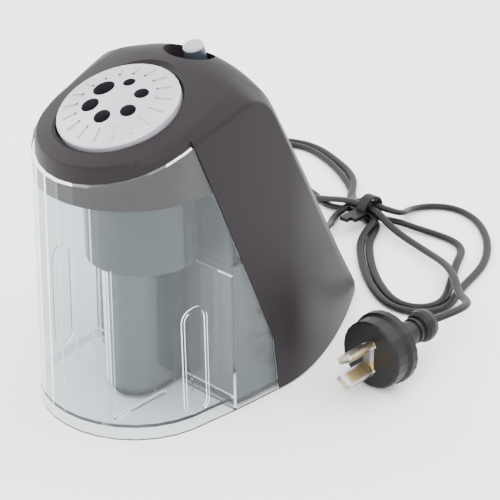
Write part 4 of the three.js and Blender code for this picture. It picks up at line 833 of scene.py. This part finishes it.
def make_shell():
    """The housing with its skirt, the dial's well, the button's dish and the cord's hole."""
    shell = body_solid("housing_fine", TABLE_GAP, 0, EDGE_ROUND)
    in_front = box_solid("in_front", -FAR / 2, FAR / 2, -FAR / 2, SEAM_TIP, -10, FAR)
    rim = combine(wall_ring(-4, SKIRT_INSET, -20, 250), "INTERSECT", in_front)
    combine(shell, "DIFFERENCE", body_solid("inside", -5, SHELL_WALL), receptacle_space(), rim)
    zone = box_solid("zone", -FAR / 2, FAR / 2, -FAR / 2, SKIRT_END, SKIRT_BOTTOM, FAR)
    skirt = combine(wall_ring(SKIRT_INSET, SKIRT_INSET + SKIRT_THICK, 100, 250), "INTERSECT", zone,
                    body_solid("outer", TABLE_GAP, 0))
    collar = combine(cylinder("collar", WELL_RADIUS + 2.2, -5.7, 4, ON_DIAL), "INTERSECT",
                     body_solid("outer", TABLE_GAP, 0.3))
    bowl = combine(dish_solid("bowl", 2.2), "INTERSECT", body_solid("outer", TABLE_GAP, 0.3))
    combine(shell, "UNION", skirt, collar, bowl)
    well = cylinder("well", WELL_RADIUS, WELL_CUT, 12, ON_DIAL)
    rim = [(0, -2.2), (WELL_RADIUS, -2.2), (WELL_RADIUS + 1.4, -1.6), (WELL_RADIUS + 5, 2.8), (0, 2.8)]
    chamfer = turned_solid("chamfer", rim, ON_DIAL)
    cap_hole = cylinder("cap_hole", 6.3, -30, 0, ON_BUTTON)
    under_hole = cylinder("under_hole", 7.9, -30, -14.7, ON_BUTTON)
    combine(shell, "DIFFERENCE", well, chamfer, dish_solid("dish", 0), cap_hole, under_hole, cord_hole())
    shell.data.materials.clear()
    shell.data.materials.append(LOOKS["charcoal_shell"])
    smooth(shell, 28)
    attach(shell, "base")
    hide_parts("housing_shell")


make_shell()


# ------------------------------------------------------------------ floor, light, world
def make_stage():
    bpy.ops.mesh.primitive_plane_add(size=8, location=(0, 0, -0.0002))
    floor = bpy.context.object
    floor.name = "floor"
    mat, tree, shader = new_material("paper_white")
    tone = ramp(tree, noise(tree, 3.0).outputs["Fac"], (0.93, 0.93, 0.93, 1), (0.95, 0.95, 0.95, 1))
    tree.links.new(tone, shader.inputs["Base Color"])
    shader.inputs["Roughness"].default_value = 0.65
    floor.data.materials.append(mat)


def area_light(name, location, aim, size, power, tint=(1, 1, 1)):
    data = bpy.data.lights.new(name, "AREA")
    data.shape = "RECTANGLE"
    data.size, data.size_y = size
    data.energy = power
    data.color = tint
    obj = bpy.data.objects.new(name, data)
    bpy.context.scene.collection.objects.link(obj)
    obj.location = location
    obj.rotation_euler = (Vector(aim) - Vector(location)).to_track_quat("-Z", "Y").to_euler()


def make_light():
    area_light("key", (0.9, -1.2, 1.6), (0, 0, 0.08), (1.6, 1.6), 34)
    area_light("left", (-1.5, -0.5, 0.9), (0, 0, 0.1), (1.2, 1.8), 18)
    area_light("rear", (0.4, 1.5, 1.3), (0, 0, 0.1), (1.8, 1.2), 20)
    area_light("top", (0, 0.1, 2.0), (0, 0, 0), (2.0, 2.0), 16)
    world = bpy.data.worlds.new("studio")
    world.use_nodes = True
    tree = world.node_tree
    sky = tree.nodes["Background"]
    sky.inputs["Color"].default_value = (1.0, 1.0, 1.0, 1.0)
    sky.inputs["Strength"].default_value = 2.7
    bpy.context.scene.world = world


make_stage()
make_light()
